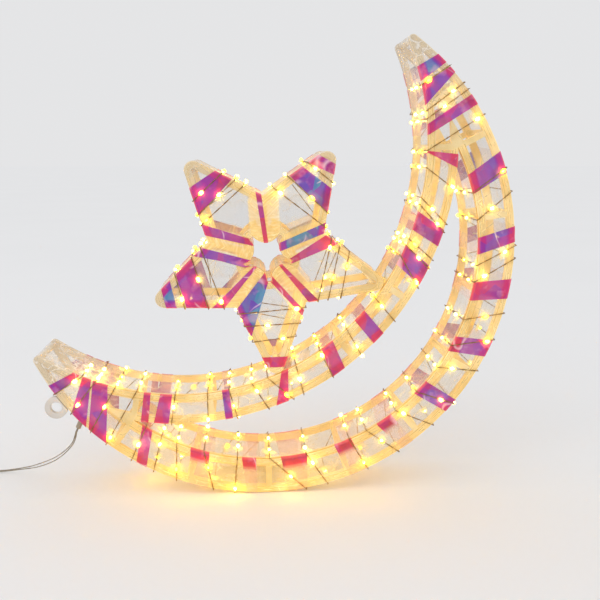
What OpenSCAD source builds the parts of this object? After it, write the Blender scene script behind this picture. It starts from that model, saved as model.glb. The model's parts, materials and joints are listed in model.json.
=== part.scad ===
// Light-up crescent moon with a star, its wound light wire and its battery box, in millimetres.
// X runs to the right, Y to the back and Z up. The origin is on the ground below the middle of the
// ornament's width, halfway through its depth.

/* [Crescent] */
// Radius of the crescent's outer edge
outer_edge_r = 211; // [160:1:240]
// Width of the outer bow
outer_bow_w = 30; // [24:0.5:36]
// How much smaller the mouth's radius is than the outer edge's
mouth_step = 5.5; // [2:0.5:12]
// Width of the inner bow
inner_bow_w = 24.5; // [20:0.5:30]
// Distance from the outer edge's centre to the mouth's centre
mouth_offset = 108.3; // [100:0.1:118]
// Direction in which the mouth opens
mouth_dir = 130; // [110:1:150]
// Depth of the frames, front to rear
frame_depth = 64; // [40:1:80]
// Radius of the crescent's two noses
nose_r = 3.6; // [3:0.1:4]

/* [Frames] */
// Width of the rails
rail_w = 6; // [4.5:0.1:6.5]
// Thickness of the rails
rail_t = 5; // [3:0.5:7]
// Width of the rungs between the rails
rung_w = 5; // [3:0.5:6]
// Diameter of the posts between the front and rear frames
post_d = 4.6; // [3:0.2:6]
// Rungs along the outer bow
outer_rungs = 9; // [6:1:11]
// Rungs along the inner bow
inner_rungs = 7; // [5:1:9]

/* [Star] */
// Distance from the star's centre to the end of a point
star_tip_r = 99.5; // [85:0.5:105]
// Distance from the star's centre to the inner corners
star_inner_r = 50; // [42:0.5:56]
// Radius of the rounded end of a point
star_nose_r = 7; // [7:0.5:9]
// Radius of the rounded bumps round the middle opening
star_bump_r = 13; // [11:0.5:14]
// Distance from the star's centre to the centres of the bumps
star_bump_place = 25; // [24:0.5:28]
// Distance from the star's centre to the ends of the opening's notches
star_notch_r = 21; // [18:0.5:23]

/* [Film] */
// Thickness of the clear film
film_t = 0.3; // [0.2:0.05:0.6]
// Clearance between a frame and its film
film_gap = 0.2; // [0.1:0.05:0.3]
// Thickness of the coloured strips
strip_t = 0.2; // [0.1:0.05:0.4]
// Clearance between the film and a strip
strip_gap = 0.05; // [0.05:0.05:0.2]

/* [Lights] */
// Diameter of the light wire
wire_d = 0.8; // [0.6:0.1:1.2]
// Clearance between a strip and the wire
wire_gap = 0.1; // [0.05:0.05:0.3]
// Diameter of a light
led_d = 3.6; // [3:0.1:4]

/* [Eyelet] */
// Outer diameter of the hanging eyelet
eyelet_d = 19; // [16:0.5:24]
// Diameter of the eyelet's bore
eyelet_bore_d = 9.4; // [6:0.1:11]
// Thickness of the eyelet
eyelet_t = 5; // [4:0.5:8]
// Angle along the outer edge from the lower nose to the eyelet
eyelet_turn = 11.2; // [8:0.2:18]

/* [Lead] */
// Diameter of the twin lead
lead_d = 2; // [1.6:0.1:2.4]
// Diameter of the sleeve where the lead leaves the film
sleeve_d = 4.4; // [3.6:0.1:5]
// Length of that sleeve
sleeve_l = 7; // [5:0.5:10]
// Diameter of the strain relief on the battery box
relief_d = 5; // [4:0.1:6]
// Length of the strain relief
relief_l = 9; // [6:0.5:12]

/* [Battery box] */
// Diameter of a cell
cell_d = 14.2; // [13.8:0.1:14.5]
// Length of a cell
cell_l = 49; // [48:0.1:50]
// Wall of the box
box_wall = 1.6; // [1.4:0.1:2.4]
// Thickness of the cover
cover_t = 1.8; // [1.4:0.1:2.4]
// Length of the chamber beside the cells, which holds the controller
bay_l = 11; // [10:0.5:16]
// Length of a contact spring
spring_l = 6; // [5:0.1:8]
// Travel of the switch
switch_travel = 4; // [3:0.5:5]
// Running clearance of the cover and the switch
run_gap = 0.3; // [0.2:0.05:0.5]

/* [Hidden] */

// Radius of the mouth, which is the inner bow's inner edge
mouth_r = outer_edge_r - mouth_step;
// Facets of large and small circles
big_fn = 240;
small_fn = 48;
// Overrun of every cut
cut = 1;

// Outer faces of the film, the strips and the wire's middle, measured from the frames
film_out = film_gap + film_t;
strip_in = film_out + strip_gap;
strip_out = strip_in + strip_t;
wire_out = strip_out + wire_gap + wire_d / 2;
led_out = strip_out + wire_gap + led_d / 2;

function dir(a) = [cos(a), sin(a)];
// Angle, at the outer edge's centre, between the mouth's direction and a point that lies ra from
// that centre and rb from the mouth's centre
function meet_angle(ra, rb) =
    acos((ra * ra + mouth_offset * mouth_offset - rb * rb) / (2 * ra * mouth_offset));
// The same angle at the mouth's centre, from the direction of the outer edge's centre
function meet_angle_mouth(ra, rb) =
    acos((rb * rb + mouth_offset * mouth_offset - ra * ra) / (2 * rb * mouth_offset));
// Curves and sides run into a rounded end at this share of its radius
blend_share = 0.995;
nose_in = blend_share * nose_r;
nose_turn = meet_angle(outer_edge_r - nose_in, mouth_r + nose_in);

// Centres of the outer edge and of the mouth, as [x, z]. The ornament's width runs from the lower
// nose to the lights on the outer edge
left_reach = nose_r + film_out - (outer_edge_r - nose_in) * cos(mouth_dir + nose_turn);
right_reach = outer_edge_r + led_out + led_d / 2;
bow_c = [(left_reach - right_reach) / 2, outer_edge_r + film_out];
mouth_c = bow_c + mouth_offset * dir(mouth_dir);

outer_bow_in = outer_edge_r - outer_bow_w;
inner_bow_out = mouth_r + inner_bow_w;
junction_turn = meet_angle(outer_bow_in, inner_bow_out);
junction_turn_mouth = meet_angle_mouth(outer_bow_in, inner_bow_out);
// Angles of the upper and lower noses and junctions, clockwise from the top of the crescent
nose_up = mouth_dir - nose_turn;
nose_low = mouth_dir + nose_turn - 360;
eyelet_dir = nose_low + eyelet_turn;
junction_up = mouth_dir - junction_turn;
junction_low = mouth_dir + junction_turn - 360;
inner_up = mouth_dir - 180 + junction_turn_mouth;
inner_low = mouth_dir - 180 - junction_turn_mouth;
// Share of a tip's angle at which its own rung stands
tip_rung_share = 0.48;
tip_angle = nose_up - junction_up;

// Sets a flat outline, drawn as [x, z], upright from y to y + t
module plate(y, t) {
    translate([0, y + t, 0]) rotate([90, 0, 0]) linear_extrude(t) children();
}

// Stands its children at angle a round a centre, with X outward and Z counterclockwise
module at_bow(centre, a) {
    translate([centre.x, 0, centre.y]) rotate([0, -a, 0]) children();
}

// Crescent

module disc(centre, r) {
    translate(centre) circle(r, $fn = big_fn);
}

// Space between the two bows, drawn in by g on every side
module lens_2d(g) {
    difference() {
        disc(bow_c, outer_bow_in - g);
        disc(mouth_c, inner_bow_out + g);
    }
}

// Wedge that cuts off the sharp end past a nose. s is 1 for the upper nose and -1 for the lower
module nose_cut_2d(a, s) {
    p = bow_c + (outer_edge_r - nose_in) * dir(a);
    outward = outer_bow_w * dir(a);
    inward = outer_bow_w * (mouth_c - p) / norm(mouth_c - p);
    far = p + s * [-outward.y, outward.x];
    polygon([p, p + outward, far + outward, far + inward, p + inward]);
}

// The crescent's outline, grown by g
module crescent_2d(g) {
    difference() {
        disc(bow_c, outer_edge_r + g);
        disc(mouth_c, mouth_r - g);
        lens_2d(g);
        if (nose_r + g > 0) {
            nose_cut_2d(nose_up, 1);
            nose_cut_2d(nose_low, -1);
        }
    }
    if (nose_r + g > 0)
        for (a = [nose_up, nose_low])
            translate(bow_c + (outer_edge_r - nose_in) * dir(a)) circle(nose_r + g, $fn = small_fn);
}

outer_rung_angles = [for (i = [0:outer_rungs - 1])
    junction_up + (junction_low - junction_up) * i / (outer_rungs - 1)];
inner_rung_angles = [for (i = [0:inner_rungs - 1])
    inner_up + (inner_low - inner_up) * i / (inner_rungs - 1)];
tip_rung_angles = [junction_up + tip_rung_share * tip_angle, junction_low - tip_rung_share * tip_angle];

// Distance from the outer edge's centre, along angle a, to a circle of radius r round the mouth's
function ray_to(a, r) =
    let (along = mouth_offset * cos(a - mouth_dir), across = mouth_offset * sin(a - mouth_dir))
    along + sqrt(r * r - across * across);

// One rung, from radius r0 to r1 round a centre
module rung_2d(centre, a, r0, r1) {
    translate(centre) rotate(a) translate([r0, -rung_w / 2]) square([r1 - r0, rung_w]);
}

module crescent_frame_2d() {
    difference() {
        crescent_2d(0);
        crescent_2d(-rail_w);
    }
    intersection() {
        crescent_2d(0);
        union() {
            for (a = outer_rung_angles)
                rung_2d(bow_c, a, outer_bow_in + rail_w / 2, outer_edge_r - rail_w / 2);
            for (a = inner_rung_angles)
                rung_2d(mouth_c, a, mouth_r + rail_w / 2, inner_bow_out - rail_w / 2);
            for (a = tip_rung_angles)
                rung_2d(bow_c, a, ray_to(a, mouth_r + rail_w / 2), outer_edge_r - rail_w / 2);
        }
    }
}

module crescent_front_frame() {
    color([0.96, 0.9, 0.74]) plate(-frame_depth / 2, rail_t) crescent_frame_2d();
}

module crescent_rear_frame() {
    color([0.9, 0.84, 0.7]) plate(frame_depth / 2 - rail_t, rail_t) crescent_frame_2d();
}

// A post between the two frames at [x, z]
module post(p) {
    length = frame_depth - 2 * rail_t;
    translate([p.x, length / 2, p.y]) rotate([90, 0, 0]) cylinder(h = length, d = post_d, $fn = small_fn);
}

module crescent_posts() {
    color([0.93, 0.88, 0.76]) {
        for (a = outer_rung_angles) {
            post(bow_c + (outer_edge_r - rail_w / 2) * dir(a));
            post(bow_c + (outer_bow_in + rail_w / 2) * dir(a));
        }
        for (a = inner_rung_angles) {
            post(mouth_c + (mouth_r + rail_w / 2) * dir(a));
            if (a != inner_rung_angles[0] && a != inner_rung_angles[inner_rungs - 1])
                post(mouth_c + (inner_bow_out - rail_w / 2) * dir(a));
        }
        for (a = tip_rung_angles) {
            post(bow_c + (outer_edge_r - rail_w / 2) * dir(a));
            post(bow_c + ray_to(a, mouth_r + rail_w / 2) * dir(a));
        }
        for (a = [nose_up, nose_low])
            post(bow_c + (outer_edge_r - nose_in) * dir(a));
    }
}

// A wrap round the crescent that reaches from g0 to g1 outside its frames
module crescent_wrap(g0, g1) {
    difference() {
        plate(-frame_depth / 2 - g1, frame_depth + 2 * g1) crescent_2d(g1);
        plate(-frame_depth / 2 - g0, frame_depth + 2 * g0) crescent_2d(g0);
    }
}

// A pie slice round the outer edge's centre from angle a1 up to a0, out to radius r
module slice(a0, a1, r) {
    steps = 6;
    reach = r / cos((a0 - a1) / steps / 2);
    depth = frame_depth + outer_bow_w;
    plate(-depth / 2, depth) translate(bow_c)
        polygon([[0, 0], for (i = [0:steps]) reach * dir(a0 + (a1 - a0) * i / steps)]);
}

// The cylinder that parts the outer bow from the inner one
module parting_core() {
    depth = frame_depth + outer_bow_w;
    plate(-depth / 2, depth) disc(bow_c, outer_bow_in - 2 * strip_out);
}

module outer_bow_part() {
    intersection() {
        children();
        difference() {
            slice(junction_up, junction_low, outer_edge_r + outer_bow_w);
            parting_core();
        }
    }
}

module inner_bow_part() {
    intersection() {
        children();
        slice(junction_up, junction_low, outer_edge_r + outer_bow_w);
        parting_core();
    }
}

// upper is true for the upper tip and false for the lower one
module tip_part(upper) {
    past = tip_angle + outer_bow_w;
    intersection() {
        children();
        if (upper) slice(junction_up + past, junction_up, outer_edge_r + outer_bow_w);
        else slice(junction_low, junction_low - past, outer_edge_r + outer_bow_w);
    }
}

film_colour = [0.86, 0.86, 0.85, 0.45];

module outer_bow_film() {
    color(film_colour) outer_bow_part() crescent_wrap(film_gap, film_out);
}

module inner_bow_film() {
    color(film_colour) inner_bow_part() crescent_wrap(film_gap, film_out);
}

module upper_tip_film() {
    color(film_colour) tip_part(true) crescent_wrap(film_gap, film_out);
}

module lower_tip_film() {
    color(film_colour) tip_part(false) crescent_wrap(film_gap, film_out);
}

// Star

star_arm = star_tip_r - star_nose_r;
// The star's lower two points rest against the mouth. The clearance between the films takes a strip
star_seat_gap = strip_out - film_out + strip_gap;
star_reach = mouth_r - 2 * film_out - star_seat_gap - star_nose_r;
star_offset = sqrt(pow(star_reach, 2) - pow(star_arm * sin(36), 2)) - star_arm * cos(36);
star_c = mouth_c - star_offset * dir(mouth_dir);
function arm_dir(k) = mouth_dir + 72 * k;

// A side of a point, in the point's own frame with X along it: its slope and its two ends
star_side_r = blend_share * star_nose_r;
star_corner = star_inner_r * dir(-36);
star_side_span = [star_arm, 0] - star_corner;
side_slope = atan2(star_side_span.y, star_side_span.x) - asin(star_side_r / norm(star_side_span));
function corner_r(g) = star_inner_r + g / sin(side_slope + 36);
function side_end(g, s) =
    [star_arm, 0] + (star_side_r + g) * [sin(side_slope), -s * cos(side_slope)];
function turned(p, a) = [p.x * cos(a) - p.y * sin(a), p.x * sin(a) + p.y * cos(a)];

// The star's outline, grown by g
module star_2d(g) {
    translate(star_c) {
        polygon([for (k = [0:4]) each [
            corner_r(g) * dir(arm_dir(k) - 36),
            turned(side_end(g, 1), arm_dir(k)),
            turned(side_end(g, -1), arm_dir(k))
        ]]);
        for (k = [0:4])
            translate(star_arm * dir(arm_dir(k))) circle(star_nose_r + g, $fn = small_fn);
    }
}

// The opening in the star's middle, grown by g
module opening_2d(g) {
    translate(star_c) difference() {
        circle(star_notch_r + g, $fn = small_fn);
        for (k = [0:4])
            translate(star_bump_place * dir(arm_dir(k) + 36)) circle(star_bump_r - g, $fn = small_fn);
    }
}

module star_solid_2d(g) {
    difference() {
        star_2d(g);
        opening_2d(-g);
    }
}

module star_frame_2d() {
    difference() {
        star_solid_2d(0);
        star_solid_2d(-rail_w);
    }
    intersection() {
        star_solid_2d(0);
        translate(star_c) for (k = [0:4]) rotate(arm_dir(k) + 36)
            translate([star_bump_place - star_bump_r + rail_w / 2, -rung_w / 2])
            square([star_inner_r - star_bump_place + star_bump_r - rail_w, rung_w]);
    }
}

module star_front_frame() {
    color([0.96, 0.9, 0.74]) plate(-frame_depth / 2, rail_t) star_frame_2d();
}

module star_rear_frame() {
    color([0.9, 0.84, 0.7]) plate(frame_depth / 2 - rail_t, rail_t) star_frame_2d();
}

module star_posts() {
    color([0.93, 0.88, 0.76]) for (k = [0:4]) {
        post(star_c + star_arm * dir(arm_dir(k)));
        post(star_c + (star_inner_r - rail_w) * dir(arm_dir(k) + 36));
        post(star_c + (star_bump_place - star_bump_r + rail_w / 2) * dir(arm_dir(k) + 36));
    }
}

module star_wrap(g0, g1) {
    difference() {
        plate(-frame_depth / 2 - g1, frame_depth + 2 * g1) star_solid_2d(g1);
        plate(-frame_depth / 2 - g0, frame_depth + 2 * g0) star_solid_2d(g0);
    }
}

module star_film() {
    color(film_colour) star_wrap(film_gap, film_out);
}

// Hanging eyelet, a washer that seats on the film, level with the front frame
eyelet_wall = (eyelet_d - eyelet_bore_d) / 2;
// How far the washer's rim is cut away by the film that it seats on, as a share of its wall
eyelet_seat_share = 0.62;
eyelet_place = outer_edge_r + film_out + eyelet_d / 2 - eyelet_seat_share * eyelet_wall;

module hanging_eyelet() {
    color([0.86, 0.8, 0.72]) difference() {
        at_bow(bow_c, eyelet_dir) translate([eyelet_place, -frame_depth / 2 + eyelet_t, 0])
            rotate([90, 0, 0]) difference() {
                cylinder(h = eyelet_t, d = eyelet_d, $fn = small_fn);
                translate([0, 0, -cut]) cylinder(h = eyelet_t + 2 * cut, d = eyelet_bore_d, $fn = small_fn);
            }
        plate(-frame_depth, 2 * frame_depth) disc(bow_c, outer_edge_r + strip_out + strip_gap);
    }
}

// Coloured strips. Each row holds where a strip's two edges cross the inner wall and where they cross
// the outer one, as shares of the length of its bow or tip
outer_strip_shares = [
    [0.049, 0.083, 0.033, 0.065], [0.158, 0.187, 0.144, 0.167], [0.235, 0.268, 0.222, 0.252],
    [0.335, 0.364, 0.318, 0.345], [0.43, 0.46, 0.424, 0.447], [0.516, 0.547, 0.514, 0.534],
    [0.599, 0.631, 0.596, 0.624], [0.681, 0.728, 0.692, 0.72], [0.772, 0.797, 0.768, 0.784],
    [0.855, 0.889, 0.844, 0.873], [0.962, 0.982, 0.941, 0.958]
];
inner_strip_shares = [
    [0.008, 0.012, 0.014, 0.042], [0.146, 0.19, 0.17, 0.206], [0.228, 0.278, 0.25, 0.294],
    [0.409, 0.442, 0.419, 0.449], [0.512, 0.545, 0.529, 0.562], [0.637, 0.655, 0.667, 0.695],
    [0.785, 0.802, 0.79, 0.806], [0.919, 0.947, 0.926, 0.957], [0.969, 0.985, 0.968, 0.984]
];
upper_tip_strip_shares = [
    [0.265, 0.363, 0.241, 0.337], [0.522, 0.686, 0.563, 0.623], [0.717, 0.83, 0.67, 0.764]
];
lower_tip_strip_shares = [
    [0.435, 0.57, 0.06, 0.255], [0.585, 0.66, 0.285, 0.46], [0.69, 0.75, 0.67, 0.77]
];
// Strips across the star's points: the point's number, and the places along its two sides
star_point_strip_shares = [
    [0, 0.62, 0.84, 0.67, 0.81], [1, 0.86, 0.94, 0.82, 0.915], [1, 0.61, 0.785, 0.575, 0.755],
    [2, 0.86, 0.95, 0.85, 0.94], [4, 0.83, 0.93, 0.86, 0.94], [4, 0.66, 0.78, 0.57, 0.755]
];
// Strips from a point's side to the opening: the point's number, the side, the places along it, and
// the turns from the point's direction as shares of the step from point to point
star_ring_strip_shares = [
    [0, 1, 0.56, 0.47, 0.04, 0.15], [0, -1, 0.475, 0.425, -0.36, -0.61],
    [1, -1, 0.56, 0.47, 0.12, -0.16], [1, 1, 0.595, 0.5, 0.17, 0.3],
    [2, -1, 0.425, 0.675, -0.2, -0.03], [2, 1, 0.475, 0.52, 0.11, 0.02],
    [3, 1, 0.43, 0.545, 0.085, -0.04], [3, -1, 0.51, 0.43, -0.18, -0.32],
    [4, -1, 0.5, 0.415, -0.12, -0.48]
];
// How far a strip's slab passes the walls that it wraps, and the star's opening
strip_pass = 1.5 * strip_out;
opening_pass = 4 * strip_out;

module strip_slab(corners) {
    plate(-frame_depth, 2 * frame_depth) polygon(corners);
}

module outer_bow_strips() {
    color([0.75, 0.12, 0.5]) outer_bow_part() intersection() {
        crescent_wrap(strip_in, strip_out);
        union() for (s = outer_strip_shares)
            strip_slab([outer_near(s[0], strip_pass), outer_near(s[1], strip_pass),
                outer_far(s[3], strip_pass), outer_far(s[2], strip_pass)]);
    }
}

module inner_bow_strips() {
    color([0.8, 0.14, 0.42]) inner_bow_part() intersection() {
        crescent_wrap(strip_in, strip_out);
        union() for (s = inner_strip_shares)
            strip_slab([inner_near(s[0], strip_pass), inner_near(s[1], strip_pass),
                inner_far(s[3], strip_pass), inner_far(s[2], strip_pass)]);
    }
}

module tip_slabs(shares, upper) {
    for (s = shares)
        strip_slab([tip_near(s[0], upper, strip_pass), tip_near(s[1], upper, strip_pass),
            tip_far(s[3], upper, strip_pass), tip_far(s[2], upper, strip_pass)]);
}

module tip_strips() {
    color([0.7, 0.14, 0.56]) {
        tip_part(true) intersection() {
            crescent_wrap(strip_in, strip_out);
            tip_slabs(upper_tip_strip_shares, true);
        }
        tip_part(false) intersection() {
            crescent_wrap(strip_in, strip_out);
            tip_slabs(lower_tip_strip_shares, false);
        }
    }
}

// The opening's edge, less g, at a turn from a point's direction
star_step = arm_dir(1) - arm_dir(0);
function opening_side(k, turn, g) =
    let (near = (turn + star_step) % star_step - star_step / 2, across = star_bump_place * sin(near),
        bump = abs(across) < star_bump_r,
        r = bump ? star_bump_place * cos(near) - sqrt(pow(star_bump_r, 2) - pow(across, 2))
            : star_notch_r)
    star_c + (min(r, star_notch_r) - g) * dir(arm_dir(k) + turn);

module star_strips() {
    color([0.74, 0.12, 0.5]) intersection() {
        star_wrap(strip_in, strip_out);
        union() {
            for (s = star_point_strip_shares)
                strip_slab([star_side(s[0], s[1], 1, strip_pass), star_side(s[0], s[2], 1, strip_pass),
                    star_side(s[0], s[4], -1, strip_pass), star_side(s[0], s[3], -1, strip_pass)]);
            for (s = star_ring_strip_shares)
                strip_slab([star_side(s[0], s[2], s[1], strip_pass),
                    star_side(s[0], s[3], s[1], strip_pass),
                    opening_side(s[0], s[5] * star_step, opening_pass),
                    opening_side(s[0], s[4] * star_step, opening_pass)]);
        }
    }
}

// Windings. Each turn of the light wire runs down the front from a point a[i] to a point b[i] and
// back up the rear to a[i + 1], where a and b are lists of [x, z] on two opposite walls

// Where the wire crosses each bow: the share of the bow's length at its outer wall and at its inner
outer_turn_shares = [
    [0.058, 0.081], [0.093, 0.128], [0.172, 0.206], [0.191, 0.235], [0.274, 0.303], [0.316, 0.353],
    [0.369, 0.398], [0.43, 0.455], [0.475, 0.505], [0.541, 0.568], [0.595, 0.602], [0.66, 0.683],
    [0.709, 0.748], [0.767, 0.805], [0.831, 0.865], [0.892, 0.915], [0.929, 0.944], [0.966, 0.975]
];
inner_turn_shares = [
    [0.086, 0.045], [0.158, 0.114], [0.175, 0.13], [0.236, 0.212], [0.255, 0.228], [0.301, 0.256],
    [0.385, 0.37], [0.485, 0.469], [0.56, 0.55], [0.632, 0.616], [0.655, 0.69], [0.711, 0.729],
    [0.78, 0.785], [0.843, 0.836], [0.92, 0.912]
];
upper_tip_turn_shares = [[0.14, 0.13], [0.385, 0.41], [0.45, 0.475], [0.63, 0.69]];
lower_tip_turn_shares = [[0.06, 0.17], [0.23, 0.37], [0.46, 0.55], [0.68, 0.67]];
// For each of the star's points, the shares of its length at its two sides
star_turn_shares = [
    [[0.55, 0.57], [0.63, 0.65], [0.74, 0.76]], [[0.5, 0.48], [0.62, 0.58], [0.8, 0.76]],
    [[0.45, 0.46], [0.58, 0.57], [0.69, 0.71]], [[0.48, 0.5], [0.56, 0.58], [0.65, 0.68]],
    [[0.51, 0.46], [0.65, 0.57], [0.83, 0.8]]
];

wire_r = wire_d / 2;
wire_sides = 6;
// How far from an edge the wire leaves a face. It clears the strips' edges by this share of its gap
wire_corner_share = 0.25;
wire_bend = 2 * (wire_gap + wire_r) - sqrt(2) * (wire_r + wire_corner_share * wire_gap);
turn_face = frame_depth / 2 + wire_out;
turn_edge = turn_face - wire_bend;

// The outer wall's wire is led past the line on which the ornament stands
rest_half = acos(1 - (wire_out + wire_r - film_out + wire_gap) / outer_edge_r);
function clear_of_rest(a) =
    let (x = a + 90) abs(x) < 2 * rest_half ? sign(x) * (rest_half + abs(x) / 2) - 90 : a;

function outer_angle(share) = junction_up + share * (junction_low - junction_up);
function inner_angle(share) = inner_up + share * (inner_low - inner_up);
function tip_turn_angle(share, upper) =
    upper ? junction_up + share * tip_angle : junction_low - share * tip_angle;
function star_side(k, share, s, g) =
    let (x = share * star_tip_r,
        y = -star_corner.y - (x - star_corner.x) * tan(side_slope) + g / cos(side_slope))
    star_c + turned([x, s * y], arm_dir(k));

// Places on the far and the near wall of each stretch, g outside the frames
function outer_far(share, g) = bow_c + (outer_edge_r + g) * dir(outer_angle(share));
function outer_near(share, g) = bow_c + (outer_bow_in - g) * dir(outer_angle(share));
function inner_far(share, g) = mouth_c + (inner_bow_out + g) * dir(inner_angle(share));
function inner_near(share, g) = mouth_c + (mouth_r - g) * dir(inner_angle(share));
function tip_far(share, upper, g) =
    bow_c + (outer_edge_r + g) * dir(tip_turn_angle(share, upper));
function tip_near(share, upper, g) =
    let (a = tip_turn_angle(share, upper)) bow_c + ray_to(a, mouth_r - g) * dir(a);

// Where the turns cross the two walls of each stretch, g outside the frames
function outer_walls(g) = [
    [for (s = outer_turn_shares) bow_c + (outer_edge_r + g) * dir(clear_of_rest(outer_angle(s[0])))],
    [for (s = outer_turn_shares) outer_near(s[1], g)]
];
function inner_walls(g) = [
    [for (s = inner_turn_shares) inner_far(s[0], g)],
    [for (s = inner_turn_shares) inner_near(s[1], g)]
];
function tip_walls(shares, upper, g) = [
    [for (s = shares) tip_far(s[0], upper, g)],
    [for (s = shares) tip_near(s[1], upper, g)]
];
function star_walls(k, g) = [
    [for (s = star_turn_shares[k]) star_side(k, s[0], 1, g)],
    [for (s = star_turn_shares[k]) star_side(k, s[1], -1, g)]
];

function unit(v) = v / norm(v);
function lift(p, y) = [p.x, y, p.y];
function toward(p, q) = p + wire_bend * unit(q - p);

function winding(walls) = let (a = walls[0], b = walls[1]) concat([lift(a[0], 0)],
    [for (i = [0:len(a) - 1]) each concat(
        [lift(a[i], -turn_edge), lift(toward(a[i], b[i]), -turn_face),
            lift(toward(b[i], a[i]), -turn_face), lift(b[i], -turn_edge)],
        i == len(a) - 1 ? [] : [lift(b[i], turn_edge), lift(toward(b[i], a[i + 1]), turn_face),
            lift(toward(a[i + 1], b[i]), turn_face), lift(a[i + 1], turn_edge)])],
    [lift(b[len(a) - 1], 0)]);

// The direction of a path at its point i
function heading(path, i) =
    let (before = i > 0 ? unit(path[i] - path[i - 1]) : [0, 0, 0],
        after = i < len(path) - 1 ? unit(path[i + 1] - path[i]) : [0, 0, 0])
    unit(before + after);

function ring(p, t, ref, r, n) =
    let (s = unit(cross(t, ref)), w = cross(s, t))
    [for (j = [0:n - 1]) p + r * (cos(360 * j / n) * s + sin(360 * j / n) * w)];

// A round tube along a path. refs holds a direction for each point that the path never follows
module tube(path, refs, r, n) {
    last = len(path) - 1;
    points = [for (i = [0:last]) each ring(path[i], heading(path, i), refs[i], r, n)];
    sides = [for (i = [0:last - 1]) for (j = [0:n - 1])
        let (p = i * n + j, q = i * n + (j + 1) % n) each [[p, q, p + n], [q, q + n, p + n]]];
    caps = [for (j = [1:n - 2]) each [[0, j + 1, j], [last * n, last * n + j, last * n + j + 1]]];
    polyhedron(points = points, faces = concat(sides, caps));
}

// Least gap between a tube of diameter d and itself, from its path's points
function least_gap(path, skip, d) =
    min([for (i = [0:len(path) - 1]) for (j = [i + skip:1:len(path) - 1]) norm(path[i] - path[j])]) - d;

// The wire's neighbouring points round one corner, which the gap leaves out
turn_skip = 3;

module wound(path, refs) {
    echo(least_gap_mm = least_gap(path, turn_skip, wire_d));
    tube(path, refs, wire_r, wire_sides);
}

function round_refs(path, c) = [for (p = path) unit([c.y - p.z, 0, p.x - c.x])];

wire_colour = [0.36, 0.22, 0.1];
outer_path = winding(outer_walls(wire_out));
inner_path = winding(inner_walls(wire_out));
upper_tip_path = winding(tip_walls(upper_tip_turn_shares, true, wire_out));
lower_tip_path = winding(tip_walls(lower_tip_turn_shares, false, wire_out));

module outer_bow_wire() {
    color(wire_colour) wound(outer_path, round_refs(outer_path, bow_c));
}

module inner_bow_wire() {
    color(wire_colour) wound(inner_path, round_refs(inner_path, mouth_c));
}

module upper_tip_wire() {
    color(wire_colour) wound(upper_tip_path, round_refs(upper_tip_path, bow_c));
}

module lower_tip_wire() {
    color(wire_colour) wound(lower_tip_path, round_refs(lower_tip_path, bow_c));
}

module star_wire() {
    color(wire_colour) for (k = [0:4]) {
        path = winding(star_walls(k, wire_out));
        wound(path, [for (p = path) [cos(arm_dir(k)), 0, sin(arm_dir(k))]]);
    }
}

// Lights. Each sits on the wire, spread along the turns by a steady step
led_step_share = 0.618;
led_end_share = 0.16;
led_reach = led_out + led_d / 2;
led_face = frame_depth / 2 + led_out;
led_wall_half = frame_depth / 2 - led_d;

function spread(i, from) = let (x = i * led_step_share + from) x - floor(x);
function led_share(i, from) = led_end_share + (1 - 2 * led_end_share) * spread(i, from);
function led_depth(i, from) = led_wall_half * (2 * spread(i, from) - 1);
function mix(p, q, share) = p + share * (q - p);

// Where the last turn's second light lies on the inner wall, as a share of the wall's half depth
led_last_share = 0.6;

// Lights of a winding: one on each front run, two on each inner wall, one on each outer wall, and one
// on every other rear run. The first and the last cover the wire's ends
function led_places(walls) = let (a = walls[0], b = walls[1]) [for (i = [0:len(a) - 1])
    let (last = i == len(a) - 1) each concat(
        [lift(mix(a[i], b[i], led_share(i, 0)), -led_face)],
        [lift(b[i], last ? 0 : led_depth(i, 0.3))],
        [lift(b[i], last ? -led_last_share * led_wall_half : led_depth(i, 0.8))],
        [lift(a[i], i == 0 ? 0 : led_depth(i, 0.7))],
        i % 2 == 1 && !last ? [lift(mix(b[i], a[i + 1], led_share(i, 0.5)), led_face)] : [])];

nose_places = [for (k = [0:4]) star_c + star_arm * dir(arm_dir(k))];
// A light needs room above the ground, in the gap between the bows and beside the star's points
function gap_at(p) =
    let (q = p - bow_c, a = atan2(q.y, q.x)) outer_bow_in - ray_to(a, inner_bow_out);
function in_gap(p) =
    norm(p - bow_c) < outer_bow_in && norm(p - mouth_c) > inner_bow_out;
function has_room(p) =
    p.z > led_d / 2
    && (!in_gap([p.x, p.z]) || gap_at([p.x, p.z]) > 2 * led_reach)
    && min([for (q = nose_places) norm([p.x, p.z] - q)]) > star_nose_r + led_reach;

// More lights crowd the lower tip: the turn's number, and the place as a share of the wall's half depth
lower_tip_cluster_shares = [[1, -0.95], [1, -0.72], [2, -0.68], [2, -0.44]];

// The lights of one winding, with any that crowd its near wall
module leds(walls, more = []) {
    for (p = concat(led_places(walls), [for (m = more) lift(walls[1][m[0]], m[1] * led_wall_half)]))
        if (has_room(p)) translate(p) sphere(d = led_d, $fn = small_fn);
}

led_colour = [1, 0.93, 0.7];

module outer_bow_leds() {
    color(led_colour) leds(outer_walls(led_out));
}

module inner_bow_leds() {
    color(led_colour) leds(inner_walls(led_out));
}

module tip_leds() {
    color(led_colour) {
        leds(tip_walls(upper_tip_turn_shares, true, led_out));
        leds(tip_walls(lower_tip_turn_shares, false, led_out), lower_tip_cluster_shares);
    }
}

module star_leds() {
    color(led_colour) for (k = [0:4]) leds(star_walls(k, led_out));
}

// Lead. It leaves the film through a sleeve, hangs down to the ground and lies in a coil there

// Angle along the outer edge from the eyelet to the sleeve, and the sleeve's lean
sleeve_turn = 6;
sleeve_lean = 22;
sleeve_dir = eyelet_dir + sleeve_turn;
sleeve_y = -frame_depth / 2 + sleeve_d;
sleeve_foot = bow_c + (outer_edge_r + film_out) * dir(sleeve_dir);
sleeve_axis = dir(sleeve_dir + sleeve_lean);
sleeve_end = lift(sleeve_foot + sleeve_l * sleeve_axis, sleeve_y);

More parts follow.
